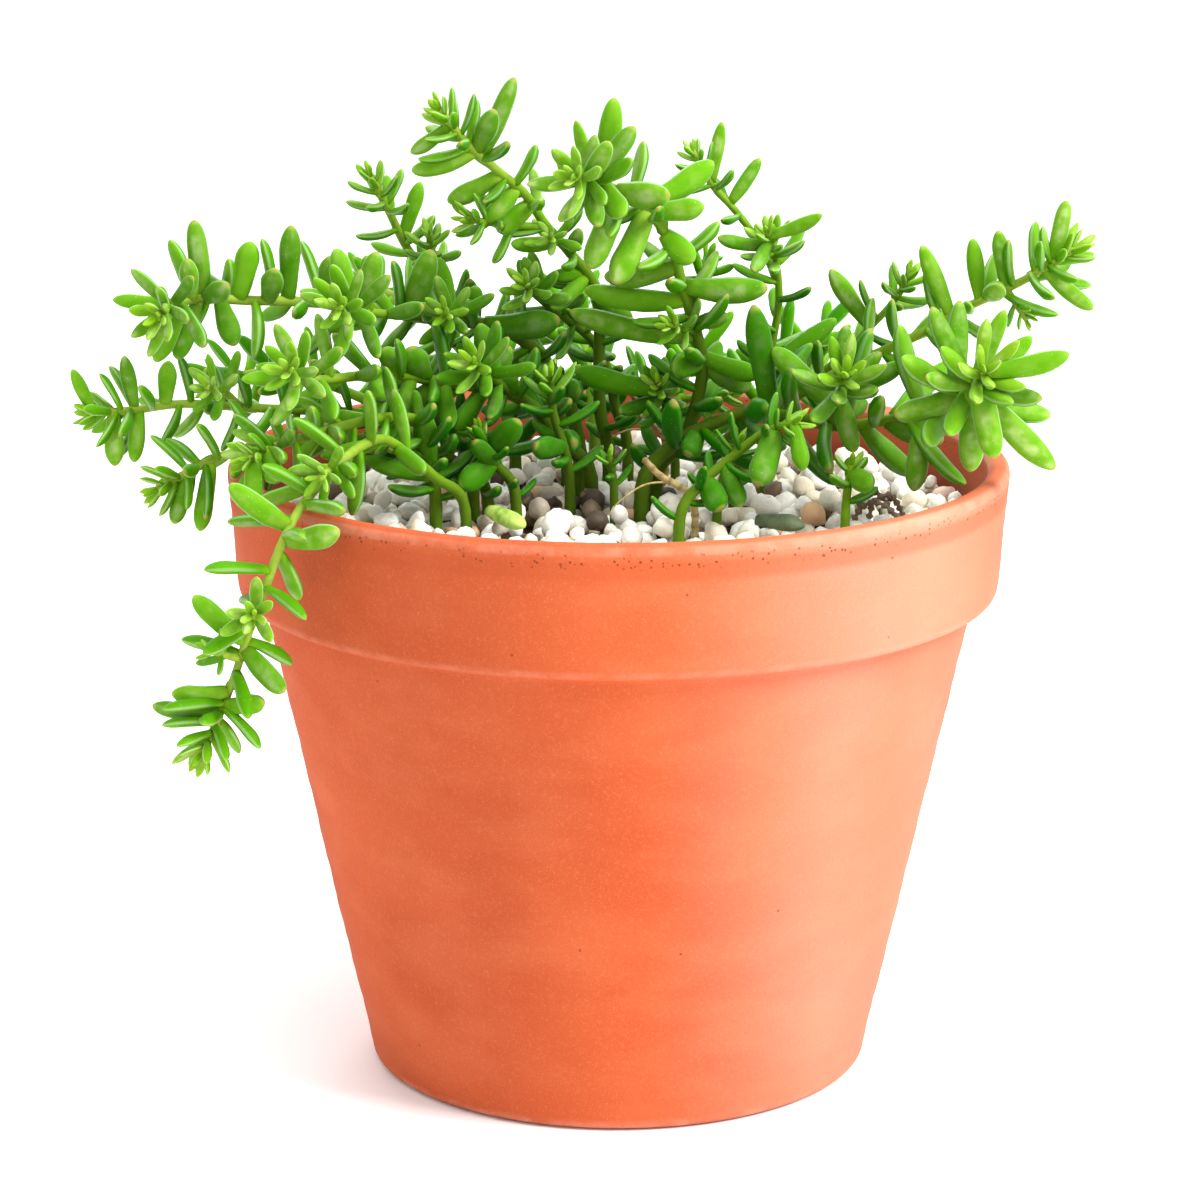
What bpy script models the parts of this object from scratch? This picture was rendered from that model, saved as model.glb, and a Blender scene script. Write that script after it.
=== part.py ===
"""Potted sedum: a clay pot with soil and pale gravel, and leafy stems that arch and trail over its rim.

Lengths in this file are millimetres, and each mesh is written in metres. +Z is up, the origin is the middle
of the pot's underside, and the plant's front faces -Y.
"""

import math

import bmesh
import bpy
import numpy as np

MM = 0.001
FLAT_ANGLE = math.radians(0.5)

# Pot
POT_HEIGHT = 127.0
RIM_RADIUS = 80.0
COLLAR_HEIGHT = 27.0
COLLAR_LOW_RADIUS = 78.4
NECK_RADIUS = 73.6
BASE_RADIUS = 52.0
COLLAR_WALL = 4.6
BODY_WALL = 6.0
FLOOR = 7.0
EDGE_ROUND = 2.2
POT_SIDES = 40
FILLING_SIDES = 20
HOLE_SIDES = 5
DRAIN_RADIUS = 4.0
DRAIN_CIRCLE = 24.0
DRAIN_COUNT = 3

# Filling
SEAT_GAP = 0.3
SOIL_TOP = 112.0
GRAVEL_TOP = 117.6
PEBBLE_SPACING = 10.8
PEBBLE_RISE = 1.7
PEBBLE_PIT = 1.1
HOLE_FLOOR = 104.0
ROOT_END = 105.0
ROOT_COLLAR = 122.0

# Leaves and stems
GOLDEN_TURN = math.radians(137.508)
STEM_STEP = 9.0
STEM_SIDES = 4
LEAF_SLENDER = 0.275
LEAF_FLATNESS = 0.74
LEAF_WIDEST = 0.66
FOOT_TAPER = 0.42
LEAF_BEND = 0.35
LEAF_RINGS = (0.40, 0.84)
YOUNG_RINGS = (0.62,)
LEAF_SIDES = 3
# Leaves of a lower age than this are small ones near the tip, with one ring of points instead of two
YOUNG = 0.99
# Of a rosette the buds and each third leaf, and of the leaves below it each second one, are spare
BUD_LEAVES = 4
ROSETTE_STEP = 3
SPARE_STEP = 2
# Leaves that start lower and nearer to the middle than this are hidden among the stems
SHADE_HEIGHT = 138.0
SHADE_REACH = 62.0
# Room round a leaf: the lowest height over the gravel, the least space to other stems and leaves, how far
# neighbours on one stem may press into each other, and the points tried along a leaf
LEAF_LOW = 120.4
CLEAR = 0.5
OWN_OVERLAP = 0.6
SAMPLES = 8
SEED = 7


def branch(route, leaf=12.0, rosette=12, gap=3.4, bare=30.0, turn=0.0, stem=(1.3, 0.8), plump=1.0, big=()):
    """One stem: its route, its leaves' length, how many crowd at the tip, how far apart the others sit."""
    return {"route": route, "leaf": leaf, "rosette": rosette, "gap": gap, "bare": bare, "turn": turn,
            "stem": stem, "plump": plump, "big": big}


SHOOTS = {
    "shoot_mid_left": [
        branch([(-6, 8), (-12, 6, 129), (-15, 4, 134), (-22, 0, 140), (-36, -8, 144), (-49, -14, 147),
                (-57, -22, 147), (-62, -32, 150), (-64, -42, 153)],
               leaf=12.5, rosette=17, bare=26, turn=20, stem=(1.6, 0.8),
               big=[((-39, -9, 145), (-42, -13, 152), 5.4), ((-44, -12, 146), (-47, -13, 152), 4.4),
                    ((-46, -12, 146), (-49, -18, 143), 5.2), ((-36, -8, 144), (-50, -12, 136), 4.6),
                    ((-27, -4, 142), (-33, -8, 134), 4.2), ((-35, -8, 144), (-34, -16, 136), 3.8),
                    ((-41, -12, 145), (-45, -17, 137), 3.9), ((-12, 6, 130), (-9, -1, 130), 5.6),
                    ((-29, -4, 143), (-22, -6, 151), 5.4), ((-22, 0, 140), (-23, -5, 146), 5.0)]),
        branch([(-22, 0, 140), (-26, -10, 146), (-29, -19, 150)],
               leaf=12, rosette=14, bare=6, turn=60, stem=(1.0, 0.8),
               big=[((-25, -6, 144), (-28, -8, 156), 4.6)]),
    ],
    "shoot_upper_left": [
        branch([(-8, 19), (-9, 18, 130), (-13, 16, 141), (-18, 14, 147), (-26, 12, 152), (-39, 8, 154),
                (-51, 4, 157), (-65, 0, 159), (-77, -4, 160), (-84, -8, 161), (-89, -14, 161),
                (-91, -23, 160)],
               leaf=12.5, rosette=16, bare=26, turn=80, stem=(1.6, 0.9),
               big=[((-84, -7, 161), (-85, -8, 177), 4.4), ((-77, -4, 160), (-74, -4, 172), 5.0),
                    ((-67, -1, 159), (-66, -2, 175), 4.4), ((-71, -2, 160), (-69, -8, 167), 4.6),
                    ((-87, -9, 161), (-86, -13, 170), 3.8), ((-84, -7, 161), (-78, -14, 165), 4.4),
                    ((-81, -5, 160), (-77, -11, 152), 4.6), ((-85, -8, 161), (-89, -10, 149), 4.2),
                    ((-88, -11, 161), (-93, -13, 149), 4.0), ((-43, 7, 155), (-38, 4, 169), 5.4),
                    ((-34, 9, 153), (-37, 13, 166), 3.8), ((-28, 11, 152), (-12, 8, 154), 6.0),
                    ((-12, 17, 139), (-8, 11, 138), 5.0), ((-31, 10, 153), (-29, 7, 161), 4.2),
                    ((-60, 1, 158), (-58, -4, 169), 4.2), ((-13, 16, 141), (-17, 9, 143), 5.2)]),
        branch([(-39, 8, 154), (-46, -4, 157), (-52, -16, 160), (-55, -30, 163)],
               leaf=12, rosette=18, bare=10, turn=10, stem=(1.0, 0.8),
               big=[((-53, -19, 161), (-56, -19, 173), 4.4), ((-52, -15, 160), (-48, -17, 172), 4.6)]),
        branch([(-33, 9, 153), (-34, 0, 156), (-35, -8, 158)],
               leaf=10, rosette=14, bare=6, turn=35, stem=(0.9, 0.7)),
    ],
    "shoot_far_left": [
        branch([(-30, 0), (-33, 0, 130), (-41, 0, 134), (-53, 0, 136), (-65, -2, 137), (-77, -4, 138),
                (-87, -5, 139), (-100, -8, 138), (-107, -10, 138)],
               leaf=11, rosette=15, bare=12, gap=2.6, turn=140, stem=(1.3, 0.8),
               big=[((-106, -10, 138), (-110, -10, 147), 2.8), ((-98, -7, 138), (-100, -6, 149), 3.2),
                    ((-102, -9, 138), (-102, -10, 127), 4.0), ((-97, -7, 138), (-98, -11, 128), 3.4),
                    ((-92, -6, 139), (-91, -6, 148), 3.8)]),
        branch([(-77, -4, 138), (-79, -10, 142), (-82, -19, 145)],
               leaf=9.5, rosette=12, bare=8, turn=50, stem=(0.9, 0.7)),
    ],
    "shoot_lower_left": [
        branch([(-27, -9), (-36, -10, 130), (-46, -12, 133), (-56, -13, 133), (-66, -14, 133),
                (-79, -17, 131), (-86, -20, 128), (-92, -23, 125)],
               leaf=11.5, rosette=16, bare=12, gap=2.6, turn=30, stem=(1.3, 0.8),
               big=[((-82, -18, 130), (-84, -21, 116), 3.8), ((-86, -20, 128), (-89, -23, 118), 3.6)]),
    ],
    "shoot_front_left": [
        branch([(-37, -14), (-38, -16, 130), (-40, -19, 138), (-47, -25, 140), (-57, -32, 139),
                (-67, -38, 137), (-72, -45, 136)],
               leaf=11.5, rosette=15, bare=14, gap=2.6, turn=75, stem=(1.4, 0.8),
               big=[((-69, -41, 137), (-66, -47, 132), 4.2), ((-71, -43, 136), (-71, -47, 127), 4.0),
                    ((-37, -15, 126), (-51, -23, 132), 3.6), ((-38, -16, 128), (-39, -21, 141), 4.4)]),
    ],
    "shoot_trailing": [
        branch([(-31, -22), (-40, -29, 132), (-46, -36, 138), (-52, -44, 137), (-59, -52, 131),
                (-63, -59, 126), (-66, -63, 119), (-69, -64, 111), (-72, -63, 103), (-75, -61, 94),
                (-78, -62, 87), (-80, -67, 83)],
               leaf=12.5, rosette=17, bare=34, turn=100, stem=(1.15, 0.75),
               big=[((-63, -59, 126), (-74, -63, 135), 4.6), ((-64, -61, 124), (-53, -67, 127), 4.8),
                    ((-71, -63, 104), (-81, -66, 114), 4.4), ((-72, -63, 103), (-64, -66, 95), 4.4),
                    ((-75, -61, 94), (-86, -63, 94), 3.8), ((-76, -61, 91), (-68, -65, 93), 4.0),
                    ((-77, -61, 90), (-90, -61, 91), 3.6)]),
        branch([(-52, -44, 137), (-55, -50, 136), (-57, -58, 135)],
               leaf=9, rosette=11, bare=6, turn=15, stem=(0.9, 0.7)),
        branch([(-69, -64, 111), (-69, -69, 112), (-69, -74, 112)],
               leaf=12, rosette=16, bare=4, turn=60, stem=(0.9, 0.7)),
        branch([(-74, -62, 101), (-77, -65, 103), (-78, -69, 104)],
               leaf=6.5, rosette=8, bare=3, turn=0, stem=(0.8, 0.6)),
    ],
    "shoot_top_small_left": [
        branch([(-11, 31), (-13, 32, 130), (-19, 32, 138), (-27, 30, 146), (-37, 28, 157), (-44, 25, 166),
                (-47, 22, 173), (-51, 18, 182)],
               leaf=10, rosette=15, bare=26, turn=35, stem=(1.3, 0.8),
               big=[((-45, 24, 168), (-41, 24, 180), 3.4), ((-30, 29, 149), (-31, 22, 160), 3.8)]),
        branch([(-37, 28, 157), (-39, 24, 163), (-39, 18, 170)],
               leaf=8, rosette=12, bare=5, turn=0, stem=(0.9, 0.7)),
    ],
    "shoot_top_left": [
        branch([(-2, 24), (-4, 24, 134), (-4, 24, 150), (-6, 22, 161), (-13, 18, 169), (-19, 12, 179),
                (-24, 8, 184), (-30, 4, 190), (-36, 0, 198)],
               leaf=10.5, rosette=16, bare=8, turn=10, stem=(1.5, 0.8),
               big=[((-28, 6, 188), (-21, 4, 204), 4.0), ((-29, 5, 189), (-25, 0, 198), 4.4),
                    ((-29, 5, 189), (-42, 5, 185), 4.0), ((-24, 8, 184), (-35, 10, 178), 4.2),
                    ((-34, 2, 195), (-42, 2, 189), 3.0), ((-18, 13, 177), (-25, 10, 172), 4.6),
                    ((-21, 11, 181), (-27, 9, 174), 4.2), ((-13, 18, 168), (-22, 12, 169), 3.4),
                    ((-6, 22, 161), (-14, 15, 155), 3.6), ((-7, 22, 162), (-14, 20, 161), 3.2),
                    ((-10, 20, 166), (-8, 12, 172), 3.2), ((-5, 23, 156), (3, 20, 152), 3.4)]),
        branch([(-15, 16, 171), (-24, 12, 173), (-31, 6, 175)],
               leaf=9, rosette=12, bare=6, turn=70, stem=(0.9, 0.7)),
        branch([(-13, 18, 168), (-13, 13, 169), (-14, 8, 171)],
               leaf=7.5, rosette=12, bare=3, turn=30, stem=(0.8, 0.7)),
    ],
    "shoot_top_centre": [
        branch([(8, 5), (13, 3, 129), (16, 2, 138), (17, 0, 149), (14, -2, 158), (12, -4, 166), (9, -6, 175),
                (3, -8, 181), (-4, -12, 185), (-9, -25, 188)],
               leaf=12.5, rosette=17, bare=8, turn=25, stem=(1.5, 0.9),
               big=[((-3, -11, 187), (-1, -13, 202), 4.8), ((-6, -15, 188), (3, -18, 197), 4.4),
                    ((-7, -17, 189), (-2, -26, 195), 4.0), ((-4, -13, 187), (1, -21, 180), 5.2),
                    ((0, -10, 184), (10, -15, 183), 5.6), ((5, -7, 180), (19, -3, 188), 5.2),
                    ((6, -7, 179), (17, -9, 180), 4.6), ((9, -6, 174), (15, -10, 169), 5.2),
                    ((6, -7, 179), (-1, -14, 165), 5.6), ((1, -9, 184), (-6, -14, 168), 5.4),
                    ((-6, -16, 189), (-4, -24, 178), 3.8), ((12, -4, 167), (-3, 1, 164), 5.0),
                    ((13, -3, 163), (30, -6, 163), 5.4), ((14, -2, 160), (-7, 3, 161), 5.0),
                    ((15, -1, 152), (-10, 6, 156), 5.0),
                    ((17, 0, 148), (27, 5, 140), 5.4), ((17, 0, 148), (29, -1, 144), 4.2),
                    ((15, -1, 155), (22, -4, 157), 3.6),
                    ((16, 1, 147), (11, -6, 147), 5.6)]),
        branch([(14, -2, 158), (17, 3, 163), (18, 9, 167)],
               leaf=8, rosette=11, bare=6, turn=40, stem=(0.8, 0.7)),
        branch([(16, 0, 153), (13, -5, 155), (10, -10, 156)],
               leaf=7, rosette=12, bare=3, turn=25, stem=(0.8, 0.7)),
    ],
    "shoot_upper_right": [
        branch([(24, 8), (27, 9, 130), (30, 11, 138), (32, 12, 150), (33, 11, 158), (32, 8, 167),
                (30, 3, 173)],
               leaf=9.5, rosette=15, bare=34, turn=0, stem=(1.1, 0.7),
               big=[((31, 12, 144), (45, 14, 153), 4.2), ((30, 4, 172), (41, -1, 177), 3.0),
                    ((31, 6, 170), (20, 1, 172), 3.0), ((31, 5, 171), (27, -4, 166), 3.2)]),
        branch([(33, 10, 161), (30, 14, 167), (26, 15, 173), (19, 14, 181), (15, 12, 188)],
               leaf=8.5, rosette=14, bare=14, turn=55, stem=(0.8, 0.7),
               big=[((23, 15, 177), (29, 16, 186), 3.0), ((19, 14, 181), (21, 12, 194), 2.8)]),
    ],
    "shoot_centre_back": [
        branch([(2, 36), (0, 34, 128), (-2, 34, 138), (-6, 31, 146), (-12, 24, 152), (-17, 14, 158),
                (-19, 5, 162)],
               leaf=10, rosette=16, bare=6, turn=90, stem=(1.3, 0.8)),
    ],
    "shoot_centre_front": [
        branch([(-10, -3), (-10, -4, 126), (-13, -6, 136), (-14, -8, 145)],
               leaf=9.5, rosette=11, bare=6, turn=10, stem=(1.3, 0.8),
               big=[((-11, -5, 130), (-17, -13, 132), 5.0)]),
    ],
    "shoot_front_small": [
        branch([(12, 24), (11, 20, 128), (10, 13, 134), (9, 5, 139), (8, 0, 142)],
               leaf=9, rosette=15, bare=5, turn=45, stem=(1.1, 0.7),
               big=[((8, 2, 141), (-9, 5, 144), 5.0), ((9, 6, 138), (0, 2, 136), 3.4)]),
    ],
    "shoot_right": [
        branch([(5, -3), (8, -2, 127), (16, -3, 133), (27, -4, 137), (37, -6, 136), (47, -9, 135),
                (57, -13, 138), (65, -20, 141), (69, -29, 147), (71, -38, 152)],
               leaf=19, rosette=20, bare=26, turn=5, stem=(1.6, 0.9), plump=0.92,
               big=[((31, -5, 137), (27, -9, 160), 5.2), ((71, -38, 152), (87, -41, 156), 4.4),
                    ((69, -31, 148), (86, -31, 131), 5.2), ((70, -34, 150), (73, -40, 135), 5.4),
                    ((69, -31, 148), (69, -34, 131), 5.2), ((61, -16, 139), (59, -20, 124), 4.6),
                    ((69, -27, 146), (54, -31, 142), 5.0), ((54, -11, 137), (65, -17, 134), 5.2),
                    ((16, -3, 133), (14, -8, 129), 4.8)]),
        branch([(43, -8, 136), (44, -15, 143), (45, -25, 149)],
               leaf=14, rosette=17, bare=8, turn=65, stem=(1.1, 0.8),
               big=[((44, -12, 141), (31, -8, 151), 5.0), ((44, -15, 143), (47, -20, 132), 4.2)]),
    ],
    "shoot_far_right": [
        branch([(19, 15), (26, 16, 130), (38, 16, 137), (50, 14, 144), (63, 10, 151), (73, 6, 158),
                (81, 3, 162), (92, -2, 170)],
               leaf=12.5, rosette=17, bare=34, turn=115, stem=(1.4, 0.8),
               big=[((88, 0, 167), (90, -2, 180), 3.6), ((79, 4, 161), (77, 4, 173), 3.4),
                    ((74, 6, 158), (72, 6, 171), 3.6), ((68, 8, 155), (62, 10, 169), 3.8),
                    ((86, 1, 166), (96, -3, 158), 3.4), ((75, 5, 159), (77, -3, 163), 4.4)]),
        branch([(79, 4, 161), (81, 3, 158), (83, 1, 155)],
               leaf=6.5, rosette=9, bare=3, turn=20, stem=(0.8, 0.6)),
    ],
    "shoot_right_back": [
        branch([(31, 25), (34, 24, 130), (39, 24, 136), (48, 22, 145), (54, 20, 152), (58, 18, 157),
                (60, 14, 162)],
               leaf=9, rosette=14, bare=6, turn=150, stem=(1.1, 0.7),
               big=[((53, 21, 150), (44, 22, 162), 4.0)]),
    ],
    "shoot_front_right": [
        branch([(12, -34), (15, -32, 127), (20, -30, 131), (27, -29, 137), (35, -33, 141)],
               leaf=8, rosette=11, bare=8, turn=80, stem=(1.3, 0.8),
               big=[((31, -30, 139), (27, -37, 129), 5.6), ((34, -33, 141), (36, -37, 132), 3.4),
                    ((17, -31, 129), (20, -36, 124), 5.2), ((21, -30, 132), (24, -34, 124), 4.0)]),
    ],
    "shoot_gravel_right": [
        branch([(45, -27), (45, -27, 126), (46, -27, 131)],
               leaf=7.5, rosette=6, bare=6, turn=0, stem=(1.1, 0.8), plump=1.2,
               big=[((46, -27, 129), (50, -31, 128), 4.8)]),
    ],
    "shoot_gravel_left": [
        branch([(-21, -12), (-23, -13, 126), (-26, -13, 130), (-28, -13, 135)],
               leaf=8.5, rosette=9, gap=3.4, bare=6, turn=40, stem=(1.3, 1.0),
               big=[((-26, -13, 131), (-20, -17, 138), 5.2), ((-25, -13, 129), (-32, -19, 125), 5.4),
                    ((-24, -13, 128), (-29, -18, 134), 4.0)]),
    ],
    "shoot_gravel_centre": [
        branch([(20, -17), (22, -17, 128), (24, -16, 134)],
               leaf=7.5, rosette=8, gap=3.6, bare=6, turn=100, stem=(1.1, 0.8)),
    ],
    "shoot_gravel_middle": [
        branch([(-1, -8), (-1, -8, 123), (-2, -9, 126), (-2, -10, 129)],
               leaf=6.5, rosette=6, bare=3, turn=20, stem=(1.0, 0.8)),
    ],
    "shoot_back_left": [
        branch([(-22, 34), (-26, 42, 131), (-36, 54, 141), (-48, 64, 149), (-58, 74, 149)],
               leaf=12, rosette=15, bare=6, turn=20, stem=(1.4, 0.8)),
        branch([(-26, 42, 131), (-31, 45, 134), (-38, 45, 136)],
               leaf=10, rosette=12, bare=3, turn=50, stem=(0.9, 0.7)),
        branch([(-24, 38, 126), (-17, 43, 131), (-10, 46, 134)],
               leaf=10, rosette=12, bare=3, turn=10, stem=(0.9, 0.7)),
    ],
    "shoot_back_centre": [
        branch([(-5, 47), (-6, 56, 132), (-8, 68, 140), (-10, 82, 143), (-12, 93, 139)],
               leaf=12, rosette=15, bare=5, turn=60, stem=(1.4, 0.8)),
    ],
    "shoot_back_right": [
        branch([(27, 40), (31, 50, 131), (37, 63, 137), (44, 76, 138), (50, 88, 132)],
               leaf=12, rosette=15, bare=5, turn=100, stem=(1.4, 0.8)),
        branch([(29, 45, 128), (36, 47, 132), (45, 45, 135)],
               leaf=10, rosette=12, bare=3, turn=30, stem=(0.9, 0.7)),
    ],
    "shoot_side_left": [
        branch([(-38, 17), (-48, 23, 131), (-62, 31, 136), (-76, 39, 137), (-88, 45, 133)],
               leaf=11.5, rosette=15, bare=8, turn=0, stem=(1.4, 0.8)),
    ],
    "shoot_trailing_back": [
        branch([(12, 44), (14, 55, 131), (18, 68, 136), (22, 80, 134), (25, 88, 126), (27, 92, 114),
                (28, 95, 101)],
               leaf=11.5, rosette=15, bare=6, turn=45, stem=(1.3, 0.8)),
        branch([(13, 49, 128), (6, 49, 132), (-1, 47, 134)],
               leaf=10, rosette=12, bare=3, turn=70, stem=(0.9, 0.7)),
        branch([(14, 51, 129), (20, 50, 131), (25, 47, 131)],
               leaf=9, rosette=12, bare=3, turn=20, stem=(0.9, 0.7)),
    ],
}

DRY_TWIGS = {
    "dry_twig_back": [(10, 30), (9, 28, 127), (5, 25, 130), (3, 23, 137)],
    "dry_twig_front": [(15, -23), (13, -23, 125), (9, -22, 127), (5, -22, 131)],
}
TWIG_RADIUS = 0.9
TWIG_STEP = 4.0

# A fallen leaf: the two ends of its axis, and its width
FALLEN_LEAVES = {
    "fallen_leaf_pale": ((-26, -21.5, 120.4), (-19, -31.5, 119.4), 4.6),
    "fallen_leaf_dark": ((27, -30, 120.3), (36.5, -34, 120.0), 4.6),
}

COLOURS = {
    "terracotta": ((0.80, 0.23, 0.10), 0.85),
    "soil": ((0.05, 0.035, 0.025), 0.95),
    "gravel": ((0.78, 0.74, 0.66), 0.70),
    "leaf": ((0.13, 0.36, 0.02), 0.40),
    "dry_stem": ((0.42, 0.33, 0.14), 0.85),
    "fallen_leaf": ((0.36, 0.42, 0.12), 0.55),
}


def clear_scene():
    """Removes every object, so that the model starts from nothing."""
    for thing in list(bpy.data.objects):
        bpy.data.objects.remove(thing)


def material(name):
    """A Principled material in one of the part's colours."""
    found = bpy.data.materials.get(name)
    if found:
        return found
    colour, roughness = COLOURS[name]
    made = bpy.data.materials.new(name)
    made.use_nodes = True
    shader = made.node_tree.nodes["Principled BSDF"]
    shader.inputs["Base Color"].default_value = (*colour, 1.0)
    shader.inputs["Roughness"].default_value = roughness
    shader.inputs["Metallic"].default_value = 0.0
    return made


def mesh_object(name, bm, finish=None, scale=MM):
    """Turns a bmesh in millimetres into an object in metres, with its faces pointing outwards."""
    bmesh.ops.scale(bm, vec=(scale, scale, scale), verts=bm.verts)
    bmesh.ops.recalc_face_normals(bm, faces=bm.faces)
    mesh = bpy.data.meshes.new(name)
    bm.to_mesh(mesh)
    bm.free()
    thing = bpy.data.objects.new(name, mesh)
    bpy.context.scene.collection.objects.link(thing)
    if finish:
        mesh.materials.append(material(finish))
    return thing


def turned(name, profile, finish, sides):
    """A turned solid: the profile, a closed line of (radius, height) from axis to axis, spun round Z."""
    bm = bmesh.new()
    points = [bm.verts.new((radius, 0.0, height)) for radius, height in profile]
    edges = [bm.edges.new(pair) for pair in zip(points, points[1:])]
    bmesh.ops.spin(bm, geom=points + edges, cent=(0, 0, 0), axis=(0, 0, 1), angle=math.tau,
                   steps=sides, use_merge=True)
    bmesh.ops.remove_doubles(bm, verts=bm.verts, dist=1e-4)
    bmesh.ops.dissolve_limit(bm, angle_limit=1e-4, verts=bm.verts, edges=bm.edges)
    return mesh_object(name, bm, finish)


def rounding(centre, radius, first, last, steps=2):
    """Points of a rounded edge: an arc about its centre, from the first angle to the last, in degrees."""
    angles = np.radians(np.linspace(first, last, steps + 1))
    return [(centre[0] + radius * math.cos(a), centre[1] + radius * math.sin(a)) for a in angles]


def inner_radius(height):
    """The pot's inner wall: steep behind the collar, then tapering with the body."""
    step = POT_HEIGHT - COLLAR_HEIGHT
    rim = RIM_RADIUS - COLLAR_WALL
    neck = NECK_RADIUS - BODY_WALL + 2.0
    low = BASE_RADIUS - BODY_WALL + 1.5
    return float(np.interp(height, [FLOOR, step, POT_HEIGHT], [low, neck, rim]))


def pot_profile():
    """The wall from the middle of the underside, up the outside, over the rim and down to the floor."""
    step = POT_HEIGHT - COLLAR_HEIGHT
    low = EDGE_ROUND
    profile = [(0.0, 0.0)]
    profile += rounding((BASE_RADIUS - low, low), low, -90, 0)
    profile += [(NECK_RADIUS, step + 0.2)]
    profile += rounding((COLLAR_LOW_RADIUS - low, step + low), low, -90, 0)
    profile += rounding((RIM_RADIUS - low, POT_HEIGHT - low), low, 0, 90)
    profile += rounding((RIM_RADIUS - COLLAR_WALL + low, POT_HEIGHT - low), low, 105, 180, 2)
    profile += [(inner_radius(step), step), (inner_radius(FLOOR), FLOOR), (0.0, FLOOR)]
    return profile


def cylinder(name, place, radius, low, high, sides):
    """An upright cutter whose flats lie at the radius."""
    bm = bmesh.new()
    corner = radius / math.cos(math.pi / sides)
    bmesh.ops.create_cone(bm, cap_ends=True, segments=sides, radius1=corner, radius2=corner, depth=high - low)
    bmesh.ops.translate(bm, verts=bm.verts, vec=(place[0], place[1], (low + high) / 2))
    return mesh_object(name, bm)


def combine(target, others, operation):
    """One Boolean on a collection of the others, which is applied, and then they are removed."""
    group = bpy.data.collections.new(target.name + "_group")
    for thing in others:
        bpy.context.scene.collection.objects.unlink(thing)
        group.objects.link(thing)
    modifier = target.modifiers.new("combine", "BOOLEAN")
    modifier.operation = operation
    modifier.operand_type = "COLLECTION"
    modifier.collection = group
    modifier.solver = "EXACT"
    evaluated = target.evaluated_get(bpy.context.evaluated_depsgraph_get())
    mesh = bpy.data.meshes.new_from_object(evaluated)
    finish = list(target.data.materials)
    target.modifiers.clear()
    target.data = mesh
    mesh.materials.clear()
    for slot in finish:
        mesh.materials.append(slot)
    for thing in others:
        bpy.data.objects.remove(thing)
    bpy.data.collections.remove(group)
    keep_one_body(target)


def keep_one_body(thing):
    """Keeps the largest closed surface: a sealed hollow is filled, and a loose scrap is dropped."""
    bm = bmesh.new()
    bm.from_mesh(thing.data)
    bm.faces.ensure_lookup_table()
    waiting = set(bm.faces)
    bodies = []
    while waiting:
        start = waiting.pop()
        body = {start}
        front = [start]
        while front:
            face = front.pop()
            near = {other for edge in face.edges if edge.is_manifold for other in edge.link_faces} & waiting
            waiting -= near
            body |= near
            front += near
        bodies.append(body)
    largest = max(bodies, key=lambda body: sum(face.calc_area() for face in body))
    extra = [face for body in bodies if body is not largest for face in body]
    bmesh.ops.delete(bm, geom=extra, context="FACES")
    bmesh.ops.delete(bm, geom=[v for v in bm.verts if not v.link_faces], context="VERTS")
    bmesh.ops.dissolve_limit(bm, angle_limit=FLAT_ANGLE, verts=bm.verts, edges=bm.edges)
    bmesh.ops.triangulate(bm, faces=bm.faces)
    for face in bm.faces:
        face.material_index = 0
    bm.to_mesh(thing.data)
    bm.free()


def unit(vector):
    """The vector at length one."""
    return vector / np.linalg.norm(vector)


def smooth_line(points, step):
    """A smooth curve through the points (Catmull and Rom's rule), read off at even steps along it."""
    points = np.array(points, float)
    first = 2 * points[0] - points[1]
    last = 2 * points[-1] - points[-2]
    knots = np.vstack([first, points, last])
    t = np.linspace(0, 1, 12, endpoint=False)[:, None]
    spans = []
    for a, b, c, d in zip(knots, knots[1:], knots[2:], knots[3:]):
        spans.append(0.5 * (2 * b + (c - a) * t + (2 * a - 5 * b + 4 * c - d) * t ** 2
                            + (3 * b - a - 3 * c + d) * t ** 3))
    fine = np.vstack(spans + [points[-1:]])
    along = np.concatenate([[0.0], np.cumsum(np.linalg.norm(np.diff(fine, axis=0), axis=1))])
    count = max(2, int(round(along[-1] / step)) + 1)
    marks = np.linspace(0, along[-1], count)
    return np.column_stack([np.interp(marks, along, fine[:, axis]) for axis in range(3)])


def nearest_on(line, point):
    """The point of a line that is nearest to the given one."""
    start, span = line[:-1], np.diff(line, axis=0)
    share = np.clip(((point - start) * span).sum(axis=1) / (span ** 2).sum(axis=1), 0, 1)
    places = start + span * share[:, None]
    return places[np.argmin(np.linalg.norm(places - point, axis=1))]


def stem_line(route, parent=None, step=STEM_STEP):
    """A stem's middle line. A route that starts with (x, y) is rooted there, straight down into the soil.

    A side stem starts on the middle line of its parent.
    """
    if len(route[0]) == 3:
        return smooth_line([nearest_on(parent, np.array(route[0], float))] + list(route[1:]), step)
    x, y = route[0]
    above = smooth_line([(x, y, ROOT_COLLAR)] + list(route[1:]), step)
    return np.vstack([[(x, y, ROOT_END)], above])


def line_frames(line):
    """Tangents, and normals that are carried along the line without twisting."""
    steps = np.diff(line, axis=0)
    steps /= np.linalg.norm(steps, axis=1)[:, None]
    tangents = np.vstack([steps[:1], steps[:-1] + steps[1:], steps[-1:]])
    tangents /= np.linalg.norm(tangents, axis=1)[:, None]
    start = np.array([0.0, -1.0, 0.0]) if abs(tangents[0][1]) < 0.9 else np.array([1.0, 0.0, 0.0])
    normals = []
    for tangent in tangents:
        start = unit(start - tangent * (start @ tangent))
        normals.append(start)
    return tangents, np.array(normals)


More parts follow.
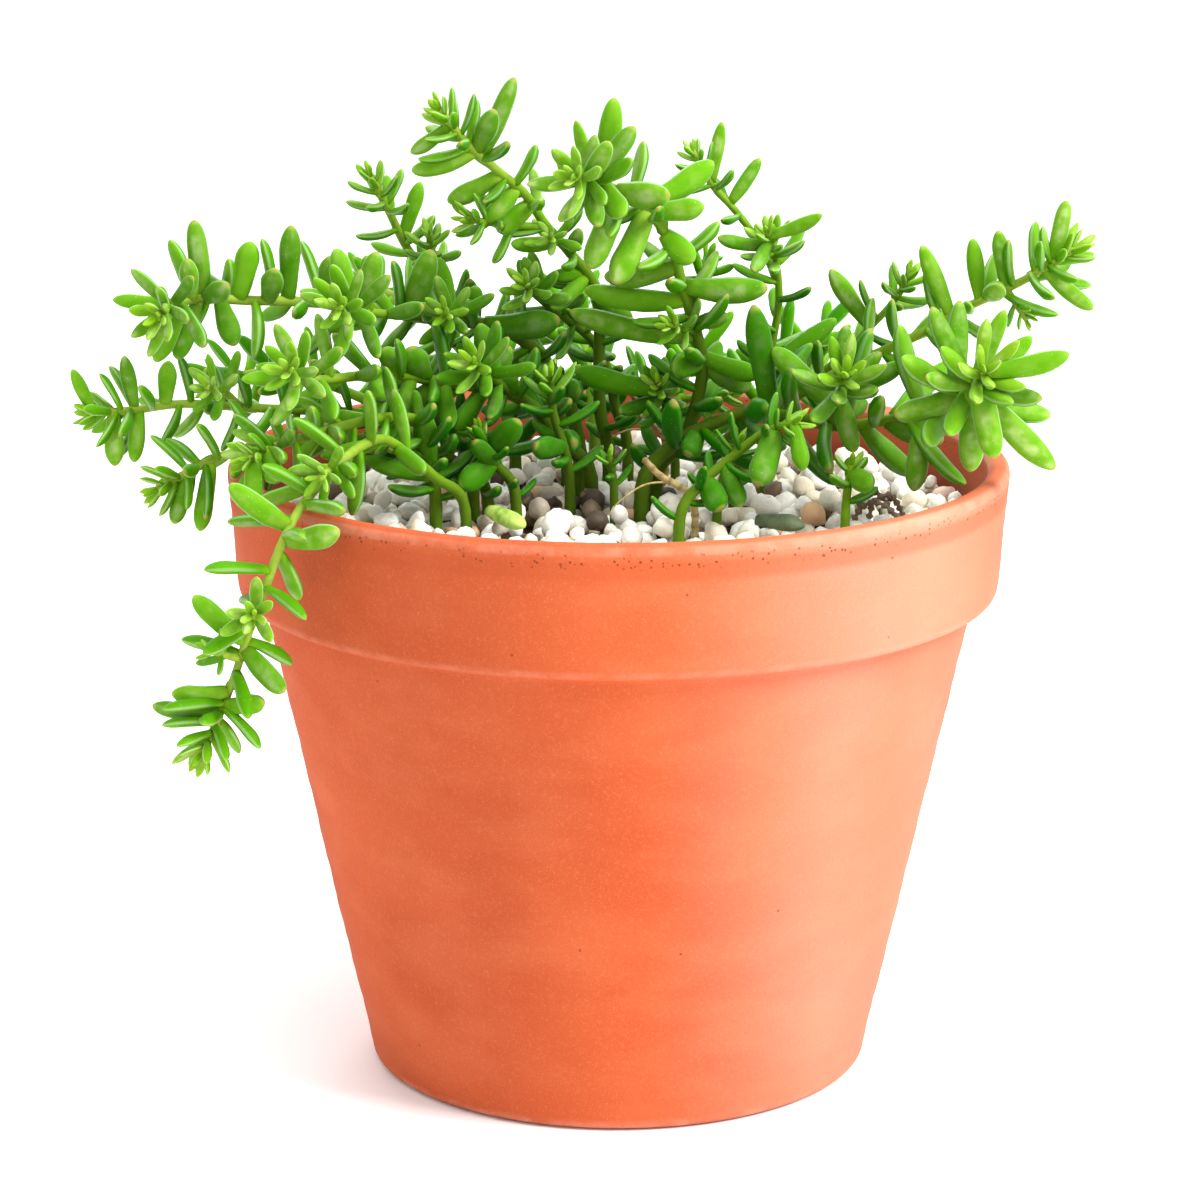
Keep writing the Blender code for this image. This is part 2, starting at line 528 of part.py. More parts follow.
def lofted(name, centres, across, up, half_widths, half_depths, sides, finish=None, sharp=(False, False)):
    """Rings of a few sides joined into a closed skin. A sharp end closes on the first or last centre."""
    bm = bmesh.new()
    angles = (np.arange(sides) + 0.5) * math.tau / sides - math.pi / 2
    rings = []
    for centre, side, lift, width, depth in zip(centres, across, up, half_widths, half_depths):
        ring = centre + np.outer(np.cos(angles) * width, side) + np.outer(np.sin(angles) * depth, lift)
        rings.append([bm.verts.new(tuple(corner)) for corner in ring])
    for low, high in zip(rings, rings[1:]):
        for k in range(sides):
            n = (k + 1) % sides
            bm.faces.new((low[k], low[n], high[n], high[k]))
    for ring, point in ((rings[0], sharp[0]), (rings[-1], sharp[1])):
        if point is False:
            bm.faces.new(ring)
            continue
        tip = bm.verts.new(tuple(point))
        for k in range(sides):
            bm.faces.new((ring[k], ring[(k + 1) % sides], tip))
    bmesh.ops.triangulate(bm, faces=bm.faces)
    return mesh_object(name, bm, finish)


def tube(name, line, radii, sides, finish=None):
    """A stem of few sides along its line."""
    tangents, normals = line_frames(line)
    return lofted(name, line, normals, np.cross(tangents, normals), radii, radii, sides, finish)


def leaf_radius(t):
    """Half the width along a leaf, as a share of its largest: a slimmer foot, widest past the middle."""
    t = np.asarray(t, float)
    foot = 1 - FOOT_TAPER * ((LEAF_WIDEST - np.minimum(t, LEAF_WIDEST)) / LEAF_WIDEST) ** 2
    tip = np.sqrt(np.maximum(0, 1 - ((np.maximum(t, LEAF_WIDEST) - LEAF_WIDEST) / (1 - LEAF_WIDEST)) ** 2))
    return foot * tip


def leaf_axis(leaf, t):
    """Points of a leaf's bent axis: a parabola from its foot, by way of its middle handle, to its tip."""
    t = np.asarray(t, float)[:, None]
    foot, handle, tip = leaf["foot"], leaf["handle"], leaf["tip"]
    return foot * (1 - t) ** 2 + handle * 2 * t * (1 - t) + tip * t ** 2


def leaf_samples(leaf):
    """Balls along a leaf that hold it: their centres and radii."""
    t = np.linspace(0.0, 0.96, SAMPLES)
    centres = leaf_axis(leaf, t)
    return centres, leaf_radius(t) * leaf["width"] / 2


class Room:
    """The space that is already taken, as balls that belong to a node, and the pot and gravel as rules."""

    def __init__(self):
        self.centres = np.zeros((0, 3))
        self.radii = np.zeros(0)
        self.owners = np.zeros(0, int)

    def take(self, centres, radii, owner):
        """Adds balls that later leaves keep clear of."""
        self.centres = np.vstack([self.centres, centres])
        self.radii = np.append(self.radii, radii)
        self.owners = np.append(self.owners, np.full(len(radii), owner))

    def is_free(self, centres, radii, owner, outer):
        """Whether the balls clear all others. In the leaf's own node only its outer part has to."""
        low = centres[:, 2] - radii
        reach = np.hypot(centres[:, 0], centres[:, 1])
        over_pot = (reach + radii > RIM_RADIUS - COLLAR_WALL - CLEAR) & (reach - radii < RIM_RADIUS + CLEAR)
        over_gravel = reach < RIM_RADIUS
        if np.any(over_pot & (low < POT_HEIGHT + CLEAR)) or np.any(over_gravel & (low < LEAF_LOW)):
            return False
        between = np.linalg.norm(self.centres[None] - centres[:, None], axis=2)
        apart = between - self.radii[None] - radii[:, None]
        others = self.owners != owner
        if np.any(apart[:, others] < CLEAR):
            return False
        return not np.any(apart[outer][:, ~others] < -OWN_OVERLAP)


def aimed_leaf(foot, stem_way, out_way, lean, length, width):
    """A leaf that leaves the stem at an angle and curves back towards the stem's tip and the light."""
    start = math.cos(lean) * stem_way + math.sin(lean) * out_way
    handle = foot + start * length * 0.5
    onward = unit(start + LEAF_BEND * stem_way + np.array([0, 0, 0.5 * LEAF_BEND]))
    tip = handle + onward * length * 0.5
    return {"foot": foot, "handle": handle, "tip": tip, "width": width, "side": np.cross(stem_way, start)}


def big_leaf(foot, tip, width):
    """A leaf that is placed by hand, with a slight upward curve."""
    foot, tip = np.array(foot, float), np.array(tip, float)
    length = np.linalg.norm(tip - foot)
    way = (tip - foot) / length
    side = np.cross(way, (0.0, 1.0, 0.0))
    sag = np.array([0, 0, -0.10 * length * math.hypot(way[0], way[1])])
    return {"foot": foot, "handle": (foot + tip) / 2 + sag, "tip": tip, "side": side, "width": width,
            "age": 1.0, "spare": False}


def ruled_leaves(spec, line, rng):
    """The leaves of a stem by rule, tip first, each turned on by the golden angle from the one before.

    Yields each one's number, its age and the ways to try it: as drawn, then turned, raised and shortened.
    """
    along = np.concatenate([[0.0], np.cumsum(np.linalg.norm(np.diff(line, axis=0), axis=1))])
    tangents, normals = line_frames(line)
    back = 0.4
    count = 0
    while back < along[-1] - spec["bare"]:
        draw = rng.uniform(-1, 1, 4)
        age = min(1.0, (count + 1) / spec["rosette"]) ** 0.75
        place = along[-1] - back
        foot = np.array([np.interp(place, along, line[:, axis]) for axis in range(3)])
        way = unit(np.array([np.interp(place, along, tangents[:, axis]) for axis in range(3)]))
        normal = np.array([np.interp(place, along, normals[:, axis]) for axis in range(3)])
        normal = unit(normal - way * (normal @ way))
        other = np.cross(way, normal)
        azimuth = math.radians(spec["turn"]) + count * GOLDEN_TURN + 0.2 * draw[0]
        length = spec["leaf"] * (0.26 + 0.74 * age) * (1 + 0.12 * draw[1])
        lean = math.radians(16 + 62 * age + 9 * draw[2])
        width = spec["leaf"] * LEAF_SLENDER * spec["plump"] * (0.26 + 0.74 * age) * (1 + 0.10 * draw[3])
        tries = []
        for size in (1.0, 0.85, 0.7):
            for turn in (0, 14, -14, 28, -28, 45, -45):
                for rise in (0, -14, 14):
                    a = azimuth + math.radians(turn)
                    out = math.cos(a) * normal + math.sin(a) * other
                    tries.append(aimed_leaf(foot, way, out, lean + math.radians(rise), length * size,
                                            width * (0.5 + 0.5 * size)))
        yield count, age, tries
        count += 1
        back += 0.35 + 0.60 * age if count < spec["rosette"] else spec["gap"] * (1 + 0.2 * draw[1])


def is_spare(count, rosette, foot):
    """Whether a leaf is left to the finished plant: the buds, some of the many that look alike, and those low
    among the stems, where the others hide them."""
    if count < rosette:
        return count < BUD_LEAVES or count % ROSETTE_STEP == 1
    in_shade = foot[2] < SHADE_HEIGHT and math.hypot(foot[0], foot[1]) < SHADE_REACH
    return in_shade or (count - rosette) % SPARE_STEP == 1


def stem_radii(spec, line):
    """A stem's radius along its line, from its foot to its tip."""
    return np.linspace(spec["stem"][0], spec["stem"][1], len(line))


def plan_plant():
    """Places every stem, then every leaf where it clears what is there, and returns them by node."""
    room = Room()
    stems = {}
    leaves = {name: [] for name in SHOOTS}
    for owner, (name, branches) in enumerate(SHOOTS.items()):
        stems[name] = []
        for spec in branches:
            line = stem_line(spec["route"], stems[name][0][1] if stems[name] else None)
            radii = stem_radii(spec, line)
            stems[name].append((spec, line, radii))
            dense = np.linspace(0, len(line) - 1, 6 * len(line))
            index = np.arange(len(line))
            centres = np.column_stack([np.interp(dense, index, line[:, axis]) for axis in range(3)])
            room.take(centres, np.interp(dense, index, radii), owner)
    for owner, (name, route) in enumerate(DRY_TWIGS.items(), len(SHOOTS)):
        line = stem_line(route)
        room.take(line, np.full(len(line), TWIG_RADIUS), owner)
    dropped = 0
    outer = np.linspace(0, 0.96, SAMPLES) > 0.45
    nowhere = np.zeros(SAMPLES, bool)
    for owner, name in enumerate(SHOOTS):
        for spec, line, radii in stems[name]:
            for foot, tip, width in spec["big"]:
                leaf = big_leaf(nearest_on(line, np.array(foot, float)), tip, width)
                centres, size = leaf_samples(leaf)
                if room.is_free(centres, size, owner, nowhere):
                    room.take(centres, size, owner)
                    leaves[name].append(leaf)
                else:
                    print("a big leaf of", name, "at", foot, "to", tip, "has no room")
    rng = np.random.default_rng(SEED)
    for owner, name in enumerate(SHOOTS):
        for spec, line, radii in stems[name]:
            for count, age, tries in ruled_leaves(spec, line, rng):
                spare = is_spare(count, spec["rosette"], tries[0]["foot"])
                for leaf in tries:
                    centres, size = leaf_samples(leaf)
                    if room.is_free(centres, size, owner, outer):
                        room.take(centres, size, owner)
                        leaves[name].append({**leaf, "age": age, "spare": spare})
                        break
                else:
                    dropped += 1
    print(sum(map(len, leaves.values())), "leaves placed,", dropped, "left out for want of room")
    return stems, leaves


def leaf_object(leaf, sides):
    """A leaf as a slim loft: its foot closes inside the stem and its tip is a blunt point."""
    t = np.array(YOUNG_RINGS if leaf["age"] < YOUNG else LEAF_RINGS)
    centres = leaf_axis(leaf, t)
    way = leaf_axis(leaf, t + 0.05) - leaf_axis(leaf, t - 0.05)
    way /= np.linalg.norm(way, axis=1)[:, None]
    side = unit(leaf["side"])
    across = np.array([unit(side - w * (side @ w)) for w in way])
    up = np.cross(way, across)
    half = leaf_radius(t) * leaf["width"] / 2 * 1.12
    ends = (tuple(leaf["foot"]), tuple(leaf_axis(leaf, [0.99])[0]))
    return lofted("leaf", centres, across, up, half, half * LEAF_FLATNESS, sides, sharp=ends)


def make_shoot(name, stems, leaves):
    """A leafy stem with its side stems and leaves fused into one body."""
    pieces = [tube("stem", line, radii, STEM_SIDES) for spec, line, radii in stems]
    shoot = pieces.pop(0)
    shoot.name = name
    shoot.data.materials.append(material("leaf"))
    pieces += [leaf_object(leaf, LEAF_SIDES) for leaf in leaves if not leaf["spare"]]
    combine(shoot, pieces, "UNION")
    return shoot


def make_pot():
    """The clay pot with three drain holes round a solid middle."""
    pot = turned("clay_pot", pot_profile(), "terracotta", POT_SIDES)
    holes = []
    for k in range(DRAIN_COUNT):
        a = math.tau * (k + 0.25) / DRAIN_COUNT
        place = (DRAIN_CIRCLE * math.cos(a), DRAIN_CIRCLE * math.sin(a))
        holes.append(cylinder("drain", place, DRAIN_RADIUS, -2, FLOOR + 2, 12))
    combine(pot, holes, "DIFFERENCE")
    return pot


def filling_profile(low, high):
    """A filling's outline between two heights, just clear of the pot's wall."""
    step = POT_HEIGHT - COLLAR_HEIGHT
    heights = [low] + [h for h in (step,) if low < h < high] + [high]
    return [(0.0, low)] + [(inner_radius(h) - SEAT_GAP, h) for h in heights] + [(0.0, high)]


def stem_cutters(low, high):
    """Plain upright holes for the feet of the stems and the twigs."""
    feet = [(branches[0]["route"][0], branches[0]["stem"][0]) for branches in SHOOTS.values()]
    feet += [(route[0], TWIG_RADIUS) for route in DRY_TWIGS.values()]
    return [cylinder("hole", place, radius + SEAT_GAP, low, high, HOLE_SIDES) for place, radius in feet]


def make_soil():
    """The potting soil, with a blind hole for each stem."""
    soil = turned("potting_soil", filling_profile(FLOOR + SEAT_GAP, SOIL_TOP), "soil",
                  FILLING_SIDES)
    combine(soil, stem_cutters(HOLE_FLOOR, SOIL_TOP + 2), "DIFFERENCE")
    return soil


def gravel_relief():
    """A slab whose top is raised in pebbles: six-sided cells with a crown and a low edge.

    The cells are a honeycomb. Each centre and each corner is scattered a little by a seeded draw, and a corner
    is shared by the three pebbles that meet there.
    """
    rng = np.random.default_rng(SEED)
    bm = bmesh.new()
    corners = {}
    rows = int(RIM_RADIUS / PEBBLE_SPACING) + 1
    side = PEBBLE_SPACING / math.sqrt(3)
    for row in range(-rows, rows + 1):
        for column in range(-rows, rows + 1):
            draw = rng.uniform(-1, 1, 3)
            middle = np.array([(column + 0.5 * (row % 2)) * PEBBLE_SPACING, row * side * 1.5])
            low = []
            for k in range(6):
                a = math.radians(60 * k + 30)
                place = middle + side * np.array([math.cos(a), math.sin(a)])
                key = (round(place[0] + 0.013, 1), round(place[1] + 0.013, 1))
                if key not in corners:
                    jump = 0.14 * PEBBLE_SPACING * rng.uniform(-1, 1, 2)
                    corners[key] = bm.verts.new((*(place + jump), GRAVEL_TOP - PEBBLE_PIT))
                low.append(corners[key])
            crown = np.array([*(middle + 0.08 * PEBBLE_SPACING * draw[:2]), GRAVEL_TOP + PEBBLE_RISE])
            crown[2] += 0.4 * draw[2]
            peak = bm.verts.new(tuple(crown))
            for k in range(6):
                bm.faces.new((low[k], low[(k + 1) % 6], peak))
    rim = [edge for edge in bm.edges if edge.is_boundary]
    skirt = bmesh.ops.extrude_edge_only(bm, edges=rim)["geom"]
    lower = {item for item in skirt if isinstance(item, bmesh.types.BMVert)}
    for vertex in lower:
        vertex.co.z = SOIL_TOP - 3
    bmesh.ops.edgeloop_fill(bm, edges=[edge for edge in bm.edges if lower.issuperset(edge.verts)])
    bmesh.ops.triangulate(bm, faces=bm.faces)
    return mesh_object("relief", bm)


def make_gravel():
    """The top dressing: a bed raised in pebbles, with a hole for each stem and seats for fallen leaves."""
    gravel = turned("gravel_dressing", filling_profile(SOIL_TOP + SEAT_GAP, GRAVEL_TOP + 6), "gravel",
                    FILLING_SIDES)
    combine(gravel, [gravel_relief()], "INTERSECT")
    cutters = stem_cutters(SOIL_TOP - 2, ROOT_COLLAR + 3)
    for name, (foot, tip, width) in FALLEN_LEAVES.items():
        cutters.append(fallen_leaf("seat", foot, tip, width + 2 * SEAT_GAP, SEAT_GAP))
    combine(gravel, cutters, "DIFFERENCE")
    return gravel


def fallen_leaf(name, foot, tip, width, extra=0.0, finish=None):
    """A leaf that lies on the gravel, a little sunk into it."""
    foot, tip = np.array(foot, float), np.array(tip, float)
    way = unit(tip - foot)
    ends = (foot - way * extra, tip + way * extra)
    t = np.array([0.12, 0.45, 0.75, 0.93])
    centres = ends[0] + (ends[1] - ends[0]) * t[:, None]
    across = unit(np.cross(way, (0.0, 0.0, 1.0)))
    half = leaf_radius(t) * width / 2
    count = len(t)
    return lofted(name, centres, [across] * count, [np.cross(across, way)] * count, half,
                  half * LEAF_FLATNESS, 8, finish, ends)


def make_twig(name, route):
    """A dead stem that stands in the gravel."""
    line = stem_line(route, step=TWIG_STEP)
    return tube(name, line, np.linspace(TWIG_RADIUS, 0.75 * TWIG_RADIUS, len(line)), 6, "dry_stem")


def make_all():
    """Builds every sub-part of the potted sedum."""
    clear_scene()
    made = [make_pot(), make_soil(), make_gravel()]
    stems, leaves = plan_plant()
    for name in SHOOTS:
        made.append(make_shoot(name, stems[name], leaves[name]))
    for name, route in DRY_TWIGS.items():
        made.append(make_twig(name, route))
    for name, (foot, tip, width) in FALLEN_LEAVES.items():
        made.append(fallen_leaf(name, foot, tip, width, 0.0, "fallen_leaf"))
    total = 0
    for thing in made:
        thing.data.shade_smooth()
        thing.data.set_sharp_from_angle(angle=math.radians(50))
        faces = sum(len(p.vertices) - 2 for p in thing.data.polygons)
        total += faces
        print(f"{thing.name}: {faces} triangles")
    print(f"{len(made)} sub-parts, {total} triangles")


make_all()
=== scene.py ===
# %% [markdown]
# # A potted sedum for a studio picture
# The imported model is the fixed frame: a clay pot, its soil and gravel, and some two dozen leafy stems, each a
# plain faceted solid at its real size and place. This lesson gives each of them its finished surface, built
# round the same middle lines and from the same rules, and then lights them as in a small photo studio.

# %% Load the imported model
import math
from itertools import product

import bpy
import numpy as np
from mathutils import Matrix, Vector


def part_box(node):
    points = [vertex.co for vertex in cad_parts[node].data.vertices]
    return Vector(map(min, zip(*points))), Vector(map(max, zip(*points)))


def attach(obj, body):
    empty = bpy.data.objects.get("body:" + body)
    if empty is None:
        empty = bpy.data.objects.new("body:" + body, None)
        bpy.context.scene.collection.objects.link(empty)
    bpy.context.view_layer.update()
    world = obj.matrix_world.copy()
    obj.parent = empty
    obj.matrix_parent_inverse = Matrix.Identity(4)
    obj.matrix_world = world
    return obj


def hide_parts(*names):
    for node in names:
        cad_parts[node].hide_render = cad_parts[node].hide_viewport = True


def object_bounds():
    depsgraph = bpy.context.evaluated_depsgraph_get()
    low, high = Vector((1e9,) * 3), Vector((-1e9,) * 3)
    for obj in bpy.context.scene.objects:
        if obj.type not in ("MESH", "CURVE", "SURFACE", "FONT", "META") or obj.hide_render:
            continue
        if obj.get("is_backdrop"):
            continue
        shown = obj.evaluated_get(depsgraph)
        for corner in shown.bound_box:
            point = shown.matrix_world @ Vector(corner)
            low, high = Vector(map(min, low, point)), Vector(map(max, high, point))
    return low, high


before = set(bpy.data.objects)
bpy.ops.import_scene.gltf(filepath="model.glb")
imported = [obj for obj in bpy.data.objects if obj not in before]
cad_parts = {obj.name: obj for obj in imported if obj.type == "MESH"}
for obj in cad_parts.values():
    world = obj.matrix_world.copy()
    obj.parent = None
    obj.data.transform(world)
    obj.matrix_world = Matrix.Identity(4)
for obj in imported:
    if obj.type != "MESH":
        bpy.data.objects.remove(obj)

MM = 0.001
CAD_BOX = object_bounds()
print("packed model, mm:", [[round(c / MM, 1) for c in corner] for corner in CAD_BOX])

# %% [markdown]
# ## The camera
# The picture looks down on the pot by about 14 degrees from less than a metre away, which shows the rim as a
# slim ellipse with the gravel behind it. The place and the lens were found by fitting that ellipse and the
# curve of the base. A long lens keeps the pot's sides nearly straight.

# %% Set up the camera
CAMERA_PLACE = (-0.0038, -0.8176, 0.3018)
CAMERA_DIP = math.radians(14.09)
CAMERA_LENS = 122.4
SENSOR = 36.0


def show(name, data):
    """An object with this data, put into the scene."""
    thing = bpy.data.objects.new(name, data)
    bpy.context.scene.collection.objects.link(thing)
    return thing


def make_camera():
    """A square view from the front, tipped down by the dip."""
    data = bpy.data.cameras.new("camera")
    data.lens = CAMERA_LENS
    data.sensor_width = SENSOR
    camera = show("camera", data)
    camera.location = CAMERA_PLACE
    camera.rotation_euler = (math.pi / 2 - CAMERA_DIP, 0, 0)
    bpy.context.scene.camera = camera


make_camera()
print("camera at", CAMERA_PLACE)

# %% [markdown]
# ## The studio
# The photograph is bright and high in key: a white sweep, soft light from all round, and one large soft light
# from the upper right that makes the right of the pot pale and leaves its left a deeper orange. A pale floor,
# a white world and three large area lights give that, the third from above, for the tops of the leaves and
# the gravel.

# %% Light the studio
WORLD_STRENGTH = 1.03
LIGHTS = {
    "key": {"place": (0.95, -0.50, 0.95), "size": 0.60, "power": 23.0},
    "back": {"place": (-0.20, 0.95, 0.90), "size": 0.80, "power": 8.0},
    "top": {"place": (0.00, -0.25, 1.20), "size": 0.50, "power": 6.0},
}
AIM = (0.0, 0.0, 0.10)


def make_light(name, place, size, power):
    """A square soft light that faces the plant."""
    data = bpy.data.lights.new(name, "AREA")
    data.size = size
    data.energy = power
    light = show(name, data)
    light.location = place
    light.rotation_mode = "QUATERNION"
    light.rotation_quaternion = (Vector(place) - Vector(AIM)).to_track_quat("Z", "Y")


def make_studio():
    """The lights and the white world, with colours shown as they are."""
    for name, facts in LIGHTS.items():
        make_light(name, **facts)
    world = bpy.data.worlds.new("studio")
    world.use_nodes = True
    sky = world.node_tree.nodes["Background"].inputs
    sky["Color"].default_value = (1.0, 1.0, 1.0, 1.0)
    sky["Strength"].default_value = WORLD_STRENGTH
    bpy.context.scene.world = world
    bpy.context.scene.view_settings.view_transform = "Standard"


make_studio()
print(len(LIGHTS), "soft lights")

# %% [markdown]
# ## Writing materials as sums
# Every finish here is worked out from a few patterns: cloudy noise, distances along a leaf, heights on the
# pot. Written as Python expressions such as `1 - mask`, they stay readable. A Wire wraps an output socket and
# turns each operator into a Math node. A Recipe adds any other node, and paints colours over one another in
# layers.

# %% Make the material helpers
SIGNS = {"add": "ADD", "sub": "SUBTRACT", "mul": "MULTIPLY"}
FIRST_COLOUR, SECOND_COLOUR, MIXED_COLOUR = 6, 7, 2


class Wire:
    """One output socket of a material. Arithmetic on it adds Math nodes."""

    def __init__(self, recipe, socket):
        self.recipe = recipe
        self.socket = socket

    def over(self, low, high):
        """0 where the value is below low, 1 above high, and a soft step between the two."""
        return self.recipe.node("ShaderNodeMapRange", {"interpolation_type": "SMOOTHSTEP"},
                                {"Value": self, "From Min": low, "From Max": high})

    def band(self, low, rise, fall, high):
        """1 from rise to fall, 0 below low and above high, with soft steps between."""
        return self.over(low, rise) * (1 - self.over(fall, high))


def add_sign(sign, operation):
    """Teaches wires one sign of arithmetic, with a wire or a plain number on either side."""

    def maths(first, second):
        recipe = first.recipe if isinstance(first, Wire) else second.recipe
        return recipe.node("ShaderNodeMath", {"operation": operation}, {0: first, 1: second})

    setattr(Wire, f"__{sign}__", lambda wire, other: maths(wire, other))
    setattr(Wire, f"__r{sign}__", lambda wire, other: maths(other, wire))


for sign, operation in SIGNS.items():
    add_sign(sign, operation)


class Recipe:
    """A material that is being written round one Principled shader."""

    def __init__(self, name, **constants):
        self.material = bpy.data.materials.new(name)
        self.material.use_nodes = True
        self.tree = self.material.node_tree
        self.shader = self.tree.nodes["Principled BSDF"]
        for socket, value in constants.items():
            self.feed(self.shader, socket.replace("_", " "), value)

    def feed(self, node, socket, value):
        """Links a wire to a socket, or sets the socket to a plain value."""
        if isinstance(value, Wire):
            self.tree.links.new(value.socket, node.inputs[socket])
        else:
            node.inputs[socket].default_value = value

    def node(self, kind, settings, values, output=0):
        """Adds any node with its settings and its sockets' values, and returns one of its outputs."""
        made = self.tree.nodes.new(kind)
        for key, value in settings.items():
            setattr(made, key, value)
        for socket, value in values.items():
            self.feed(made, socket, value)
        return Wire(self, made.outputs[output])

    def steps(self, place, stops):
        """A ramp in hard steps: the colour of the last stop that the place has passed."""
        colour = self.node("ShaderNodeValToRGB", {}, {"Fac": place})
        ramp = colour.socket.node.color_ramp
        ramp.interpolation = "CONSTANT"
        while len(ramp.elements) < len(stops):
            ramp.elements.new(1.0)
        for element, (start, shade) in zip(ramp.elements, stops):
            element.position = start
            element.color = (*shade, 1.0)
        return colour

    def place(self):
        """The three coordinates of the point, in millimetres."""
        parts = [self.node("ShaderNodeSeparateXYZ", {}, {0: self.spot()}, axis) for axis in "XYZ"]
        return [part * (1 / MM) for part in parts]

    def spot(self):
        """The place of the point, as a vector in metres."""
        return self.node("ShaderNodeTexCoord", {}, {}, "Object")

    def mark(self, name):
        """A number that the mesh carries at each of its points."""
        return self.node("ShaderNodeAttribute", {"attribute_name": name}, {}, "Fac")

    def clouds(self, size, detail, flatness=1.0):
        """Cloudy noise round 0.5, in clouds about size millimetres wide and flatness times less high."""
        spot = self.node("ShaderNodeMapping", {}, {"Vector": self.spot(), "Scale": (1.0, 1.0, flatness)})
        values = {"Vector": spot, "Scale": 1 / (size * MM), "Detail": detail}
        return self.node("ShaderNodeTexNoise", {}, values)

    def dots(self, spacing, radius, kept):
        """1 inside small round dots, one in a share of the cells that are spacing millimetres wide."""
        cells = {"Vector": self.spot(), "Scale": 1 / (spacing * MM)}
        near = self.node("ShaderNodeTexVoronoi", {}, cells, "Distance")
        draw = self.node("ShaderNodeTexVoronoi", {}, cells, "Color")
        chosen = self.node("ShaderNodeSeparateColor", {}, {0: draw}).over(1 - kept, 1.02 - kept)
        size = radius / spacing
        return (1 - near.over(0.6 * size, size)) * chosen

    def layers(self, colour, *coats):
        """Paints coats over a colour one by one. Each is a share, from 0 to 1, and a colour."""
        for share, coat in coats:
            colour, coat = (part if isinstance(part, Wire) else (*part, 1.0) for part in (colour, coat))
            values = {0: share, FIRST_COLOUR: colour, SECOND_COLOUR: coat}
            colour = self.node("ShaderNodeMix", {"data_type": "RGBA"}, values, MIXED_COLOUR)
        return colour

    def dimmed(self, colour, share):
        """The colour times a number."""
        return self.node("ShaderNodeVectorMath", {"operation": "SCALE"}, {0: colour, "Scale": share})

    def finish(self, colour, roughness, height, depth):
        """Feeds the shader. The height, from 0 to 1, stands for a relief of depth millimetres."""
        self.feed(self.shader, "Base Color", colour)
        self.feed(self.shader, "Roughness", roughness)
        bump = self.node("ShaderNodeBump", {}, {"Height": height, "Distance": depth * MM})
        self.feed(self.shader, "Normal", bump)
        return self.material


print("materials are written with Recipe and Wire")

# %% [markdown]
# ## Skins from rings
# A pot, a leaf, a stem and a pebble are the same kind of surface: rings of points along an axis, closed to
# one point at each end. One helper joins any number of such stacks of rings at once, as whole arrays. A heap
# gathers the skins of one piece together with its marks, the numbers that its finish reads at each point.

# %% Make the mesh helpers


def closed_skins(rings, first, last):
    """Joins stacks of rings into closed skins: quads between rings and a fan to the point at each end.

    The rings have the shape (skins, rows, columns, 3) and run counter-clockwise round the way from first to
    last, so that the faces look outwards. Each skin's points are first, its rings, then last.
    """
    skins, rows, columns = rings.shape[:3]
    points = np.concatenate([first[:, None], rings.reshape(skins, -1, 3), last[:, None]], axis=1)
    k = np.arange(columns)
    after = (k + 1) % columns
    row = 1 + columns * np.arange(rows - 1)[:, None]
    quads = np.stack([row + k, row + after, row + columns + after, row + columns + k], axis=-1).reshape(-1, 4)
    end = 1 + columns * (rows - 1)
    fans = np.concatenate([np.stack([0 * k, 1 + after, 1 + k], axis=-1),
                           np.stack([end + k, end + after, 0 * k + rows * columns + 1], axis=-1)])
    shift = points.shape[1] * np.arange(skins)[:, None, None]
    return points.reshape(-1, 3), (quads + shift).reshape(-1, 4), (fans + shift).reshape(-1, 3)


def on_skins(values, shape, first, last):
    """A mark for closed skins: values spread over the shape (skins, rows, columns), and one at either end."""
    first, last = (np.broadcast_to(np.asarray(end, float), shape[0])[:, None] for end in (first, last))
    return np.concatenate([first, np.broadcast_to(values, shape).reshape(shape[0], -1), last], axis=1).ravel()


class Heap:
    """The skins of one piece, in millimetres, and the marks that its finish reads at each point."""

    def __init__(self):
        self.points = []
        self.quads = []
        self.fans = []
        self.marks = {}
        self.count = 0

    def add(self, skins, **marks):
        """Adds closed skins, with a number or an array for each mark."""
        points, quads, fans = skins
        self.points.append(points)
        self.quads.append(quads + self.count)
        self.fans.append(fans + self.count)
        self.count += len(points)
        for name, values in marks.items():
            self.marks.setdefault(name, []).append(np.broadcast_to(np.asarray(values, float), len(points)))

    def piece(self, name, finish):
        """Writes the heap into one mesh object at the origin."""
        quads, fans = np.concatenate(self.quads), np.concatenate(self.fans)
        mesh = bpy.data.meshes.new(name)
        points = (np.concatenate(self.points) * MM).astype(np.float32)
        mesh.vertices.add(len(points))
        mesh.vertices.foreach_set("co", points.ravel())
        corners = np.concatenate([quads.ravel(), fans.ravel()]).astype(np.int32)
        mesh.loops.add(len(corners))
        mesh.loops.foreach_set("vertex_index", corners)
        sizes = np.concatenate([np.full(len(quads), 4), np.full(len(fans), 3)])
        mesh.polygons.add(len(sizes))
        mesh.polygons.foreach_set("loop_start", (np.cumsum(sizes) - sizes).astype(np.int32))
        for mark, values in self.marks.items():
            attribute = mesh.attributes.new(mark, "FLOAT", "POINT")
            attribute.data.foreach_set("value", np.concatenate(values).astype(np.float32))
        mesh.update(calc_edges=True)
        mesh.shade_smooth()
        mesh.materials.append(finish)
        return show(name, mesh)


PIECES = []


def seat(piece, slot, *nodes):
    """The piece is shown in place of these nodes of the model, which it hides, and hangs from the root body."""
    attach(piece, "root")
    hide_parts(*nodes)
    PIECES.append(piece.data)


def count_triangles():
    """The triangles of all pieces so far: a face of n corners is n - 2 triangles."""
    return sum(len(mesh.loops) - 2 * len(mesh.polygons) for mesh in PIECES)


def unit(vectors):
    """Vectors at length one."""
    return vectors / np.linalg.norm(vectors, axis=-1, keepdims=True)


print("skins are gathered in heaps")

